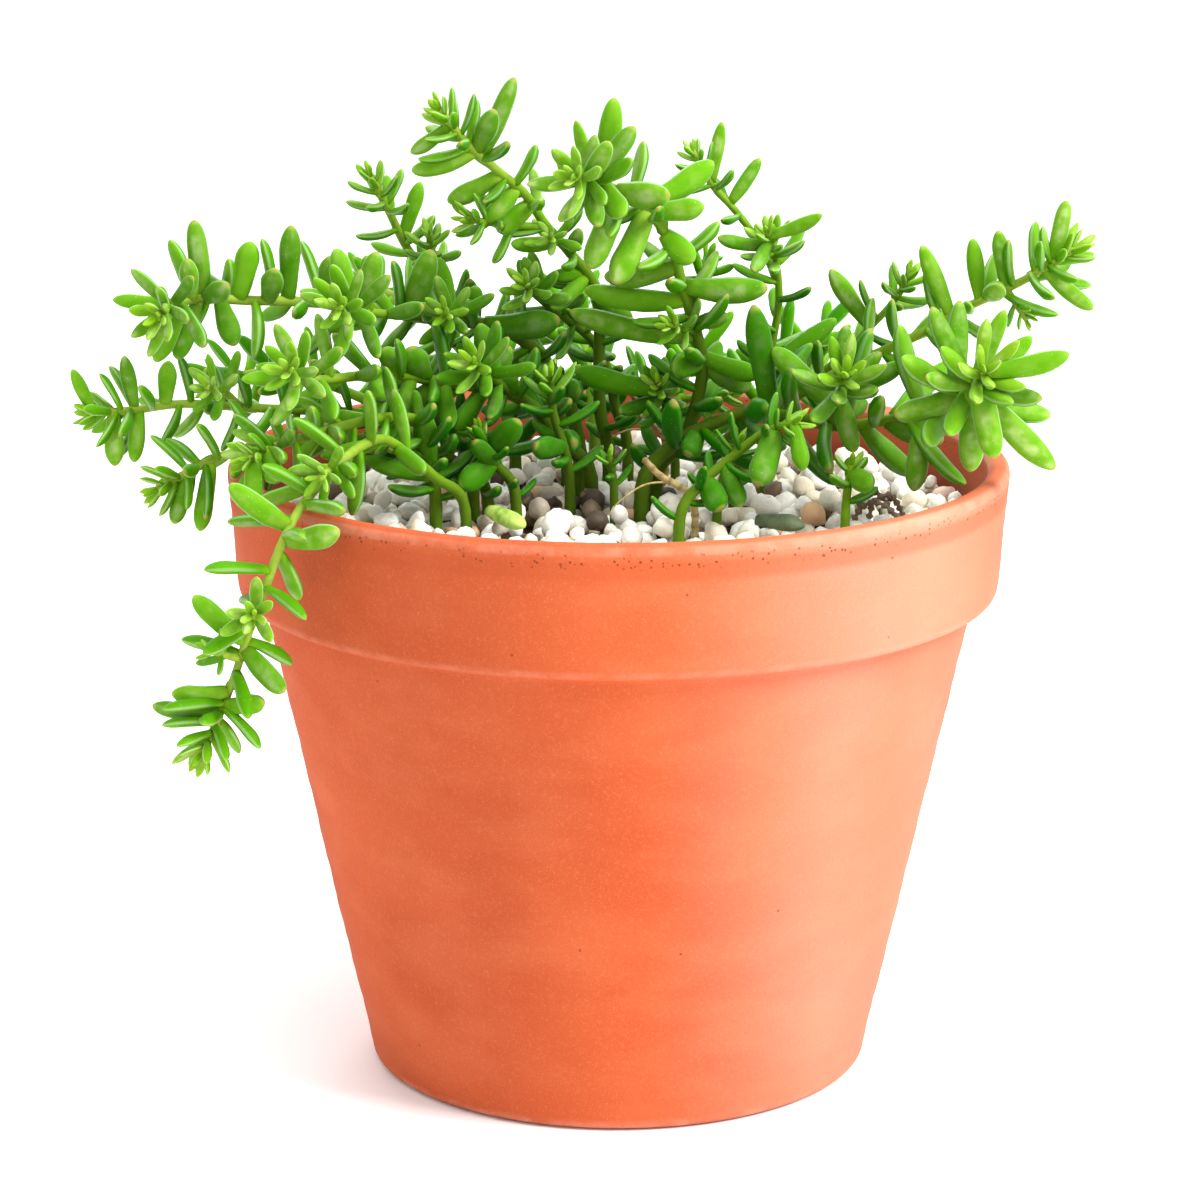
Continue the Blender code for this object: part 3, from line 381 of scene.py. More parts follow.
# %% [markdown]
# ## The floor
# The floor is a plain pale sheet, part of the studio and not of the plant, and wide enough that the camera
# never sees past its edge. Its finish is nearly white, so that under the bright light it reads as the white
# ground of the photograph, with a soft shadow at the pot.

# %% Lay the floor
FLOOR_HALF = 6.0
FLOOR_DROP = 0.0002
FLOOR_WHITE = (0.93, 0.93, 0.93, 1.0)


def make_floor():
    """One square face just under the pot."""
    mesh = bpy.data.meshes.new("studio_floor")
    corners = [(x * FLOOR_HALF, y * FLOOR_HALF, -FLOOR_DROP) for x, y in ((-1, -1), (1, -1), (1, 1), (-1, 1))]
    mesh.from_pydata(corners, [], [(0, 1, 2, 3)])
    mesh.materials.append(Recipe("studio_floor", Base_Color=FLOOR_WHITE, Roughness=0.9).material)
    show("studio_floor", mesh)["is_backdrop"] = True


make_floor()

# %% [markdown]
# ## The clay pot
# The pot is thrown or pressed on a wheel, so it's a profile turned round an axis: flat foot, straight taper,
# a deep collar with a rounded lower edge, a rounded rim and a plain inside. The profile here follows the same
# dimensions as the model's solid, with round arcs in place of its few facets. A wheel leaves faint rings and
# a slight wobble, which are added to the radius as a sum of a few sine waves.

# %% Turn the pot
POT_LOW, POT_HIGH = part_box("clay_pot")
POT_HEIGHT = POT_HIGH.z / MM
RIM_RADIUS = POT_HIGH.x / MM
COLLAR_HEIGHT = 27.0
COLLAR_LOW_RADIUS = RIM_RADIUS - 1.6
NECK_RADIUS = 73.6
BASE_RADIUS = 52.0
COLLAR_WALL = 4.6
INNER_NECK_RADIUS = 69.6
INNER_BASE_RADIUS = 47.5
POT_FLOOR = 7.0
EDGE_ROUND = 2.2
ARC_STEPS = 8
POT_COLUMNS = 216
DRAIN_RADIUS = 4.0
DRAIN_CIRCLE = 24.0
DRAIN_COUNT = 3
DRAIN_COLUMNS = 32
COLLAR_STEP = POT_HEIGHT - COLLAR_HEIGHT


def inner_radius(height):
    """The inner wall's radius: steep behind the collar, then tapering with the body."""
    radii = [INNER_BASE_RADIUS, INNER_NECK_RADIUS, RIM_RADIUS - COLLAR_WALL]
    return np.interp(height, [POT_FLOOR, COLLAR_STEP, POT_HEIGHT], radii)


def arc(across, up, first, last):
    """Points of a rounded edge about the centre (across, up), between two angles in degrees."""
    angles = np.radians(np.linspace(first, last, ARC_STEPS + 1))
    return np.column_stack([across + EDGE_ROUND * np.cos(angles), up + EDGE_ROUND * np.sin(angles)])


def run(start, end, steps):
    """Even points of a straight run, without its ends."""
    share = np.linspace(0, 1, steps + 2)[1:-1, None]
    return np.array(start) + share * (np.array(end) - np.array(start))


def pot_profile():
    """(radius, height) from the middle of the underside, round the outside, to the middle of the floor."""
    foot = arc(BASE_RADIUS - EDGE_ROUND, EDGE_ROUND, -90, 0)
    collar = arc(COLLAR_LOW_RADIUS - EDGE_ROUND, COLLAR_STEP + EDGE_ROUND, -90, 0)
    rim = arc(RIM_RADIUS - EDGE_ROUND, POT_HEIGHT - EDGE_ROUND, 0, 90)
    lip = arc(RIM_RADIUS - COLLAR_WALL + EDGE_ROUND, POT_HEIGHT - EDGE_ROUND, 105, 180)
    neck = (NECK_RADIUS, COLLAR_STEP + 0.2)
    inner_neck = (INNER_NECK_RADIUS, COLLAR_STEP)
    inner_foot = (INNER_BASE_RADIUS, POT_FLOOR)
    return np.vstack([
        run((0, 0), foot[0], 8), foot, run(foot[-1], neck, 46), [neck], run(neck, collar[0], 2), collar,
        run(collar[-1], rim[0], 12), rim, lip, run(lip[-1], inner_neck, 12), [inner_neck],
        run(inner_neck, inner_foot, 24), [inner_foot], run(inner_foot, (0, POT_FLOOR), 8)])


def make_pot(clay):
    """The profile turned round the axis, with a wobble of about a tenth of a millimetre.

    The wobble fades out at the foot and down to a quarter at the rim. The points past the rim's arc are
    marked as inside.
    """
    profile = pot_profile()
    angle = np.arange(POT_COLUMNS) * math.tau / POT_COLUMNS
    radius, height = profile[:, :1], profile[:, 1:]
    rings_of_wheel = 0.05 * np.sin(height * 1.9) + 0.06 * np.sin(height * 0.43 + 2 * np.sin(angle))
    oval = 0.12 * np.sin(2 * angle + 0.05 * height) + 0.05 * np.sin(5 * angle + height * 0.11)
    on_wall = np.clip((radius - BASE_RADIUS + 12) / 8, 0, 1) * np.clip(height / 6, 0, 1)
    near_top = np.clip((POT_HEIGHT - height) / 4, 0.25, 1)
    swollen = radius + (rings_of_wheel + oval - 0.2) * on_wall * near_top
    rings = np.stack([swollen * np.cos(angle), swollen * np.sin(angle), height + 0 * angle], axis=-1)
    inside = np.arange(len(profile)) >= np.argmax(profile[:, 1]) + ARC_STEPS
    heap = Heap()
    ends = np.array([[0.0, 0.0, 0.0]]), np.array([[0.0, 0.0, POT_FLOOR]])
    marks = on_skins(inside[:, None], (1, *rings.shape[:2]), 0, 1)
    heap.add(closed_skins(rings[None], *ends), inside=marks)
    return heap.piece("pot_clay", clay)


def drill_drains(pot):
    """Cuts the drain holes by one Boolean difference with a few upright rods."""
    rods = Heap()
    angle = np.arange(DRAIN_COLUMNS) * math.tau / DRAIN_COLUMNS
    for k in range(DRAIN_COUNT):
        turn = math.tau * (k + 0.25) / DRAIN_COUNT
        circle = np.column_stack([DRAIN_RADIUS * np.cos(angle), DRAIN_RADIUS * np.sin(angle)])
        circle += DRAIN_CIRCLE * np.array([math.cos(turn), math.sin(turn)])
        ends = (-3.0, POT_FLOOR + 3)
        rings = np.stack([np.column_stack([circle, np.full(DRAIN_COLUMNS, z)]) for z in ends])
        middles = rings.mean(axis=1)
        rods.add(closed_skins(rings[None], middles[:1], middles[1:]), inside=1.0)
    cutter = rods.piece("drain_rods", pot.data.materials[0])
    cut = pot.modifiers.new("drains", "BOOLEAN")
    cut.operation = "DIFFERENCE"
    cut.solver = "EXACT"
    cut.object = cutter
    drilled = bpy.data.meshes.new_from_object(pot.evaluated_get(bpy.context.evaluated_depsgraph_get()))
    pot.modifiers.clear()
    pot.data = drilled
    bpy.data.objects.remove(cutter)


# %% [markdown]
# Fired clay is dull and even, but never one colour: it clouds from orange to a browner red, and carries a fine
# sandy grain and small pits where grains fell out, most of them in a line under the rim. Its right side is
# painted pale, a painted highlight that is weaker under the collar, and a band left of the middle is painted
# darker, as painted shade. Pale lines along its edges are partly rubbed clay and partly painted highlight.
# The inside is painted darker, most of all below the rim, as painted shade. All of it is drawn from the
# point's place on the pot.

# %% Fire the clay
CLAY = (0.56, 0.099, 0.028)
CLAY_RED = (0.48, 0.074, 0.019)
CLAY_LIGHT = (0.70, 0.190, 0.078)
CLAY_PALE = (0.86, 0.45, 0.33)
# The darkest red, for the pits and for the painted shade inside the pot.
CLAY_PIT_AND_SHADE = (0.20, 0.035, 0.014)


def under_rim(*depths):
    """The heights that lie these depths below the rim, in millimetres."""
    return [POT_HEIGHT - depth for depth in depths]


def clay_finish():
    """Unglazed clay: clouded colour, sandy grain, small pits and pale edges."""
    recipe = Recipe("terracotta", Specular_IOR_Level=0.18)
    x, _, z = recipe.place()
    broad = recipe.clouds(42, 3).over(0.36, 0.66)
    bands = recipe.clouds(22, 3, 2.2).over(0.38, 0.72)
    grain = recipe.clouds(0.9, 3)
    sand = recipe.clouds(0.32, 2)
    lip = z.over(*under_rim(0.5, 0.1))
    below = 1 - z.over(COLLAR_STEP - 2, COLLAR_STEP)
    # Painted highlight: the right side turns pale, less so under the collar, at the lip and inside.
    painted_pale_side = x.over(0, 62) * (1 - 0.60 * x.over(58, 80)) * (1 - 0.40 * below * x.over(38, 56))
    inside = recipe.mark("inside")
    painted_pale_side = painted_pale_side * (0.80 + 0.20 * broad) * (1 - 0.7 * lip) * (1 - 0.8 * inside)
    colour = recipe.layers(
        CLAY, (broad * 0.8, CLAY_RED), (bands * 0.22, CLAY_LIGHT),
        (grain.over(0.50, 0.75) * 0.22, CLAY_LIGHT), (sand.over(0.60, 0.72) * 0.13, CLAY_PALE),
        (painted_pale_side * 0.46, CLAY_PALE), (z.band(*under_rim(8.0, 6.0, 4.0, 2.6)) * 0.42, CLAY_RED))
    # Painted shade: a band of the wall left of the middle is darkened.
    colour = recipe.dimmed(colour, 0.93 + 0.14 * sand - 0.15 * x.band(-64, -42, -26, 6))
    # The pale edge lines are partly rubbed clay and partly painted highlight on the rim and the collar's edge.
    rubbed = recipe.clouds(5, 3).over(0.35, 0.65)
    collar_line = z.band(COLLAR_STEP + 0.2, COLLAR_STEP + 0.9, COLLAR_STEP + 1.3, COLLAR_STEP + 2.4)
    rim_line = z.band(*under_rim(2.6, 1.8, 0.8, 0.3))
    foot_line = 1 - z.over(0.6, 2.6)
    edges = (0.12 * collar_line + 0.22 * rim_line + 0.30 * foot_line) * (0.25 + 0.75 * rubbed)
    pitted = z.band(*under_rim(5.4, 3.8, 2.6, 1.4))
    pits = recipe.dots(1.0, 0.29, 0.60) * pitted + recipe.dots(6.5, 0.34, 0.30) * 0.7
    # Painted shade: the inside is darker, most of all below the rim.
    painted_inner_shade = inside * (1 - z.over(*under_rim(12, 4))) * 0.60 + inside * 0.35
    colour = recipe.layers(colour, (edges, CLAY_PALE), (pits * 0.75, CLAY_PIT_AND_SHADE), (painted_inner_shade, CLAY_PIT_AND_SHADE))
    height = grain * 0.5 + sand * 0.35 - pits * 1.6
    return recipe.finish(colour, 0.72 + 0.16 * grain, height, 0.16)


pot = make_pot(clay_finish())
drill_drains(pot)
seat(pot, "terracotta", "clay_pot")
print("pot:", count_triangles(), "triangles,", round(2 * RIM_RADIUS, 1), "mm across the rim")

# %% [markdown]
# ## The soil
# The soil is only seen through gaps in the gravel and through the drain holes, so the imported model's own
# solid stays and gets a finish: nearly black crumbs with a few straw-coloured bits of bark.

# %% Finish the soil
SOIL_DARK = (0.022, 0.014, 0.009)
SOIL_BROWN = (0.11, 0.065, 0.035)
SOIL_STRAW = (0.35, 0.24, 0.12)


def soil_finish():
    """Dark crumbs from two sizes of clouds, with a few paler bits."""
    recipe = Recipe("soil", Specular_IOR_Level=0.3)
    crumbs = recipe.clouds(2.4, 4)
    dust = recipe.clouds(0.6, 3)
    colour = recipe.layers(SOIL_DARK, (crumbs.over(0.40, 0.62), SOIL_BROWN),
                           (recipe.dots(3.5, 0.7, 0.3) * 0.7, SOIL_STRAW))
    return recipe.finish(colour, 0.85 + 0.1 * dust, crumbs * 0.7 + dust * 0.3, 1.2)


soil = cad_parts["potting_soil"]
soil.data.materials.clear()
soil.data.materials.append(soil_finish())

# %% [markdown]
# ## The stems' routes
# Each stem is a route of a few points that was read from the photograph. The model's solids were made from
# these very routes, so they're repeated here as they stand, in millimetres, as a table. A line with a node's
# name starts a shoot. Its first `stem` has its route's first point in the soil, and the others branch off the
# first. `leaf` is the length of a grown leaf, `rosette` how many leaves crowd at the tip, `gap` how far apart
# the older ones sit, and `bare` how much of the foot has none. `turn` is where the spiral of leaves starts,
# in degrees, `plump` widens the leaves, and `thick` and `thin` are the stem's radii at its foot and its tip.
# `big` lists single leaves that the photograph shows plainly, each by its foot, its tip and its width.

# %% List the routes
USUAL_STEM = {"leaf": 12.0, "rosette": 12, "gap": 3.4, "bare": 6.0, "turn": 0.0, "plump": 1.0, "thick": 1.3,
              "thin": 0.8}
PLANT = """
shoot_mid_left
stem leaf 12.5, rosette 17, bare 26, turn 20, thick 1.6
route -6 8, -12 6 129, -15 4 134, -22 0 140, -36 -8 144, -49 -14 147, -57 -22 147, -62 -32 150, -64 -42 153
big -39 -9 145 -42 -13 152 5.4, -44 -12 146 -47 -13 152 4.4, -46 -12 146 -49 -18 143 5.2
big -36 -8 144 -50 -12 136 4.6, -27 -4 142 -33 -8 134 4.2, -35 -8 144 -34 -16 136 3.8
big -41 -12 145 -45 -17 137 3.9, -12 6 130 -9 -1 130 5.6, -29 -4 143 -22 -6 151 5.4, -22 0 140 -23 -5 146 5
stem rosette 14, turn 60, thick 1
route -22 0 140, -26 -10 146, -29 -19 150
big -25 -6 144 -28 -8 156 4.6
shoot_upper_left
stem leaf 12.5, rosette 16, bare 26, turn 80, thick 1.6, thin 0.9
route -8 19, -9 18 130, -13 16 141, -18 14 147, -26 12 152, -39 8 154, -51 4 157, -65 0 159, -77 -4 160
route -84 -8 161, -89 -14 161, -91 -23 160
big -84 -7 161 -85 -8 177 4.4, -77 -4 160 -74 -4 172 5, -67 -1 159 -66 -2 175 4.4, -71 -2 160 -69 -8 167 4.6
big -87 -9 161 -86 -13 170 3.8, -84 -7 161 -78 -14 165 4.4, -81 -5 160 -77 -11 152 4.6
big -85 -8 161 -89 -10 149 4.2, -88 -11 161 -93 -13 149 4, -43 7 155 -38 4 169 5.4, -34 9 153 -37 13 166 3.8
big -28 11 152 -12 8 154 6, -12 17 139 -8 11 138 5, -31 10 153 -29 7 161 4.2, -60 1 158 -58 -4 169 4.2
big -13 16 141 -17 9 143 5.2
stem rosette 18, bare 10, turn 10, thick 1
route -39 8 154, -46 -4 157, -52 -16 160, -55 -30 163
big -53 -19 161 -56 -19 173 4.4, -52 -15 160 -48 -17 172 4.6
stem leaf 10, rosette 14, turn 35, thick 0.9, thin 0.7
route -33 9 153, -34 0 156, -35 -8 158
shoot_far_left
stem leaf 11, rosette 15, gap 2.6, bare 12, turn 140
route -30 0, -33 0 130, -41 0 134, -53 0 136, -65 -2 137, -77 -4 138, -87 -5 139, -100 -8 138, -107 -10 138
big -106 -10 138 -110 -10 147 2.8, -98 -7 138 -100 -6 149 3.2, -102 -9 138 -102 -10 127 4
big -97 -7 138 -98 -11 128 3.4, -92 -6 139 -91 -6 148 3.8
stem leaf 9.5, bare 8, turn 50, thick 0.9, thin 0.7
route -77 -4 138, -79 -10 142, -82 -19 145
shoot_lower_left
stem leaf 11.5, rosette 16, gap 2.6, bare 12, turn 30
route -27 -9, -36 -10 130, -46 -12 133, -56 -13 133, -66 -14 133, -79 -17 131, -86 -20 128, -92 -23 125
big -82 -18 130 -84 -21 116 3.8, -86 -20 128 -89 -23 118 3.6
shoot_front_left
stem leaf 11.5, rosette 15, gap 2.6, bare 14, turn 75, thick 1.4
route -37 -14, -38 -16 130, -40 -19 138, -47 -25 140, -57 -32 139, -67 -38 137, -72 -45 136
big -69 -41 137 -66 -47 132 4.2, -71 -43 136 -71 -47 127 4, -37 -15 126 -51 -23 132 3.6
big -38 -16 128 -39 -21 141 4.4
shoot_trailing
stem leaf 12.5, rosette 17, bare 34, turn 100, thick 1.15, thin 0.75
route -31 -22, -40 -29 132, -46 -36 138, -52 -44 137, -59 -52 131, -63 -59 126, -66 -63 119, -69 -64 111
route -72 -63 103, -75 -61 94, -78 -62 87, -80 -67 83
big -63 -59 126 -74 -63 135 4.6, -64 -61 124 -53 -67 127 4.8, -71 -63 104 -81 -66 114 4.4
big -72 -63 103 -64 -66 95 4.4, -75 -61 94 -86 -63 94 3.8, -76 -61 91 -68 -65 93 4, -77 -61 90 -90 -61 91 3.6
stem leaf 9, rosette 11, turn 15, thick 0.9, thin 0.7
route -52 -44 137, -55 -50 136, -57 -58 135
stem rosette 16, bare 4, turn 60, thick 0.9, thin 0.7
route -69 -64 111, -69 -69 112, -69 -74 112
stem leaf 6.5, rosette 8, bare 3, thick 0.8, thin 0.6
route -74 -62 101, -77 -65 103, -78 -69 104
shoot_top_small_left
stem leaf 10, rosette 15, bare 26, turn 35
route -11 31, -13 32 130, -19 32 138, -27 30 146, -37 28 157, -44 25 166, -47 22 173, -51 18 182
big -45 24 168 -41 24 180 3.4, -30 29 149 -31 22 160 3.8
stem leaf 8, bare 5, thick 0.9, thin 0.7
route -37 28 157, -39 24 163, -39 18 170
shoot_top_left
stem leaf 10.5, rosette 16, bare 8, turn 10, thick 1.5
route -2 24, -4 24 134, -4 24 150, -6 22 161, -13 18 169, -19 12 179, -24 8 184, -30 4 190, -36 0 198
big -28 6 188 -21 4 204 4, -29 5 189 -25 0 198 4.4, -29 5 189 -42 5 185 4, -24 8 184 -35 10 178 4.2
big -34 2 195 -42 2 189 3, -18 13 177 -25 10 172 4.6, -21 11 181 -27 9 174 4.2, -13 18 168 -22 12 169 3.4
big -6 22 161 -14 15 155 3.6, -7 22 162 -14 20 161 3.2, -10 20 166 -8 12 172 3.2, -5 23 156 3 20 152 3.4
stem leaf 9, turn 70, thick 0.9, thin 0.7
route -15 16 171, -24 12 173, -31 6 175
stem leaf 7.5, bare 3, turn 30, thick 0.8, thin 0.7
route -13 18 168, -13 13 169, -14 8 171
shoot_top_centre
stem leaf 12.5, rosette 17, bare 8, turn 25, thick 1.5, thin 0.9
route 8 5, 13 3 129, 16 2 138, 17 0 149, 14 -2 158, 12 -4 166, 9 -6 175, 3 -8 181, -4 -12 185, -9 -25 188
big -3 -11 187 -1 -13 202 4.8, -6 -15 188 3 -18 197 4.4, -7 -17 189 -2 -26 195 4, -4 -13 187 1 -21 180 5.2
big 0 -10 184 10 -15 183 5.6, 5 -7 180 19 -3 188 5.2, 6 -7 179 17 -9 180 4.6, 9 -6 174 15 -10 169 5.2
big 6 -7 179 -1 -14 165 5.6, 1 -9 184 -6 -14 168 5.4, -6 -16 189 -4 -24 178 3.8, 12 -4 167 -3 1 164 5
big 13 -3 163 30 -6 163 5.4, 14 -2 160 -7 3 161 5, 15 -1 152 -10 6 156 5, 17 0 148 27 5 140 5.4
big 17 0 148 29 -1 144 4.2, 15 -1 155 22 -4 157 3.6, 16 1 147 11 -6 147 5.6
stem leaf 8, rosette 11, turn 40, thick 0.8, thin 0.7
route 14 -2 158, 17 3 163, 18 9 167
stem leaf 7, bare 3, turn 25, thick 0.8, thin 0.7
route 16 0 153, 13 -5 155, 10 -10 156
shoot_upper_right
stem leaf 9.5, rosette 15, bare 34, thick 1.1, thin 0.7
route 24 8, 27 9 130, 30 11 138, 32 12 150, 33 11 158, 32 8 167, 30 3 173
big 31 12 144 45 14 153 4.2, 30 4 172 41 -1 177 3, 31 6 170 20 1 172 3, 31 5 171 27 -4 166 3.2
stem leaf 8.5, rosette 14, bare 14, turn 55, thick 0.8, thin 0.7
route 33 10 161, 30 14 167, 26 15 173, 19 14 181, 15 12 188
big 23 15 177 29 16 186 3, 19 14 181 21 12 194 2.8
shoot_centre_back
stem leaf 10, rosette 16, turn 90
route 2 36, 0 34 128, -2 34 138, -6 31 146, -12 24 152, -17 14 158, -19 5 162
shoot_centre_front
stem leaf 9.5, rosette 11, turn 10
route -10 -3, -10 -4 126, -13 -6 136, -14 -8 145
big -11 -5 130 -17 -13 132 5
shoot_front_small
stem leaf 9, rosette 15, bare 5, turn 45, thick 1.1, thin 0.7
route 12 24, 11 20 128, 10 13 134, 9 5 139, 8 0 142
big 8 2 141 -9 5 144 5, 9 6 138 0 2 136 3.4
shoot_right
stem leaf 19, rosette 20, bare 26, turn 5, plump 0.92, thick 1.6, thin 0.9
route 5 -3, 8 -2 127, 16 -3 133, 27 -4 137, 37 -6 136, 47 -9 135, 57 -13 138, 65 -20 141, 69 -29 147
route 71 -38 152
big 31 -5 137 27 -9 160 5.2, 71 -38 152 87 -41 156 4.4, 69 -31 148 86 -31 131 5.2, 70 -34 150 73 -40 135 5.4
big 69 -31 148 69 -34 131 5.2, 61 -16 139 59 -20 124 4.6, 69 -27 146 54 -31 142 5, 54 -11 137 65 -17 134 5.2
big 16 -3 133 14 -8 129 4.8
stem leaf 14, rosette 17, bare 8, turn 65, thick 1.1
route 43 -8 136, 44 -15 143, 45 -25 149
big 44 -12 141 31 -8 151 5, 44 -15 143 47 -20 132 4.2
shoot_far_right
stem leaf 12.5, rosette 17, bare 34, turn 115, thick 1.4
route 19 15, 26 16 130, 38 16 137, 50 14 144, 63 10 151, 73 6 158, 81 3 162, 92 -2 170
big 88 0 167 90 -2 180 3.6, 79 4 161 77 4 173 3.4, 74 6 158 72 6 171 3.6, 68 8 155 62 10 169 3.8
big 86 1 166 96 -3 158 3.4, 75 5 159 77 -3 163 4.4
stem leaf 6.5, rosette 9, bare 3, turn 20, thick 0.8, thin 0.6
route 79 4 161, 81 3 158, 83 1 155
shoot_right_back
stem leaf 9, rosette 14, turn 150, thick 1.1, thin 0.7
route 31 25, 34 24 130, 39 24 136, 48 22 145, 54 20 152, 58 18 157, 60 14 162
big 53 21 150 44 22 162 4
shoot_front_right
stem leaf 8, rosette 11, bare 8, turn 80
route 12 -34, 15 -32 127, 20 -30 131, 27 -29 137, 35 -33 141
big 31 -30 139 27 -37 129 5.6, 34 -33 141 36 -37 132 3.4, 17 -31 129 20 -36 124 5.2, 21 -30 132 24 -34 124 4
shoot_gravel_right
stem leaf 7.5, rosette 6, plump 1.2, thick 1.1
route 45 -27, 45 -27 126, 46 -27 131
big 46 -27 129 50 -31 128 4.8
shoot_gravel_left
stem leaf 8.5, rosette 9, turn 40, thin 1
route -21 -12, -23 -13 126, -26 -13 130, -28 -13 135
big -26 -13 131 -20 -17 138 5.2, -25 -13 129 -32 -19 125 5.4, -24 -13 128 -29 -18 134 4
shoot_gravel_centre
stem leaf 7.5, rosette 8, gap 3.6, turn 100, thick 1.1
route 20 -17, 22 -17 128, 24 -16 134
shoot_gravel_middle
stem leaf 6.5, rosette 6, bare 3, turn 20, thick 1
route -1 -8, -1 -8 123, -2 -9 126, -2 -10 129
shoot_back_left
stem rosette 15, turn 20, thick 1.4
route -22 34, -26 42 131, -36 54 141, -48 64 149, -58 74 149
stem leaf 10, bare 3, turn 50, thick 0.9, thin 0.7
route -26 42 131, -31 45 134, -38 45 136
stem leaf 10, bare 3, turn 10, thick 0.9, thin 0.7
route -24 38 126, -17 43 131, -10 46 134
shoot_back_centre
stem rosette 15, bare 5, turn 60, thick 1.4
route -5 47, -6 56 132, -8 68 140, -10 82 143, -12 93 139
shoot_back_right
stem rosette 15, bare 5, turn 100, thick 1.4
route 27 40, 31 50 131, 37 63 137, 44 76 138, 50 88 132
stem leaf 10, bare 3, turn 30, thick 0.9, thin 0.7
route 29 45 128, 36 47 132, 45 45 135
shoot_side_left
stem leaf 11.5, rosette 15, bare 8, thick 1.4
route -38 17, -48 23 131, -62 31 136, -76 39 137, -88 45 133
shoot_trailing_back
stem leaf 11.5, rosette 15, turn 45
route 12 44, 14 55 131, 18 68 136, 22 80 134, 25 88 126, 27 92 114, 28 95 101
stem leaf 10, bare 3, turn 70, thick 0.9, thin 0.7
route 13 49 128, 6 49 132, -1 47 134
stem leaf 9, bare 3, turn 20, thick 0.9, thin 0.7
route 14 51 129, 20 50 131, 25 47 131
"""


def read_plant(table):
    """The shoots by name, each a list of stems with their numbers, route and big leaves."""
    shoots = {}
    for line in table.split("\n"):
        word, _, rest = line.partition(" ")
        rows = [row.split() for row in rest.split(", ")]
        if word.startswith("shoot"):
            stems = shoots[word] = []
        elif word == "stem":
            stems.append({**USUAL_STEM, **{key: float(value) for key, value in rows}, "route": [], "big": []})
        elif word:
            stems[-1][word] += [tuple(map(float, row)) for row in rows]
    return shoots


SHOOTS = read_plant(PLANT)
DRY_TWIGS = {
    "dry_twig_back": [(10, 30), (9, 28, 127), (5, 25, 130), (3, 23, 137)],
    "dry_twig_front": [(15, -23), (13, -23, 125), (9, -22, 127), (5, -22, 131)],
}

FALLEN_LEAVES = {
    "fallen_leaf_pale": ((-26, -21.5, 120.4), (-19, -31.5, 119.4), 4.6),
    "fallen_leaf_dark": ((27, -30, 120.3), (36.5, -34, 120.0), 4.6),
}
print(len(SHOOTS), "shoots with", sum(map(len, SHOOTS.values())), "stems")

# %% [markdown]
# ## Lines through the routes
# A stem bends smoothly, so a curve is drawn through its points and read off at even steps. Two directions
# across it are then carried along it without twisting, and leaves and rings are turned to them.

# %% Draw the stems' middle lines
STEM_STEP = 9.0
TWIG_STEP = 4.0
CURVE_STEPS = 12
ROOT_END = 105.0
ROOT_COLLAR = 122.0


def smooth_line(points, step):
    """A smooth curve through the points (Catmull and Rom's rule), read off at even steps along it."""
    points = np.array(points, float)
    first = 2 * points[0] - points[1]
    last = 2 * points[-1] - points[-2]
    knots = np.vstack([first, points, last])
    t = np.linspace(0, 1, CURVE_STEPS, endpoint=False)[:, None]
    spans = []
    for a, b, c, d in zip(knots, knots[1:], knots[2:], knots[3:]):
        spans.append(0.5 * (2 * b + (c - a) * t + (2 * a - 5 * b + 4 * c - d) * t ** 2
                            + (3 * b - a - 3 * c + d) * t ** 3))
    fine = np.vstack(spans + [points[-1:]])
    along = length_along(fine)
    count = max(2, int(round(along[-1] / step)) + 1)
    return read_off(fine, along, np.linspace(0, along[-1], count))


def read_off(values, along, places):
    """Rows of values that belong to distances along a line, read off between them at the places given."""
    return np.stack([np.interp(places, along, column) for column in values.T], axis=-1)


def length_along(line):
    """How far each point of a line lies from its start."""
    return np.concatenate([[0.0], np.cumsum(np.linalg.norm(np.diff(line, axis=0), axis=1))])


def nearest_on(line, point):
    """The point of a line that is nearest to the given one."""
    start, span = line[:-1], np.diff(line, axis=0)
    share = np.clip(((point - start) * span).sum(axis=1) / (span ** 2).sum(axis=1), 0, 1)
    places = start + span * share[:, None]
    return places[np.argmin(np.linalg.norm(places - point, axis=1))]


def stem_line(route, parent=None, step=STEM_STEP):
    """A stem's middle line, from its foot in the soil, or for a side stem from its parent's middle line."""
    if len(route[0]) == 3:
        return smooth_line([nearest_on(parent, route[0]), *route[1:]], step)
    return np.vstack([[(*route[0], ROOT_END)], smooth_line([(*route[0], ROOT_COLLAR), *route[1:]], step)])


def line_frames(line):
    """Tangents, and normals that are carried along the line without twisting."""
    steps = unit(np.diff(line, axis=0))
    tangents = unit(np.vstack([steps[:1], steps[:-1] + steps[1:], steps[-1:]]))
    start = np.array([0.0, -1.0, 0.0] if abs(tangents[0][1]) < 0.9 else [1.0, 0.0, 0.0])
    normals = []
    for tangent in tangents:
        start = unit(start - tangent * (start @ tangent))
        normals.append(start)
    return tangents, np.array(normals)


# %% [markdown]
# ## Where the leaves go
# A sedum sets one leaf after another, each turned on by the golden angle, about 137.5 degrees. At the tip
# they crowd into a rosette of short upright leaves, and further down they spread out and bend back to the
# light. The rule is the model's own, with the same seeded draws, so each fine leaf lies over its plain solid.
# A leaf is only set where a chain of balls along its axis finds room. It keeps clear of the other shoots, the
# pot and the gravel, and within its own shoot its outer half presses in a little at most. Where it doesn't
# fit, it's tried shorter, turned aside, or at a steeper or flatter angle, and else left out.

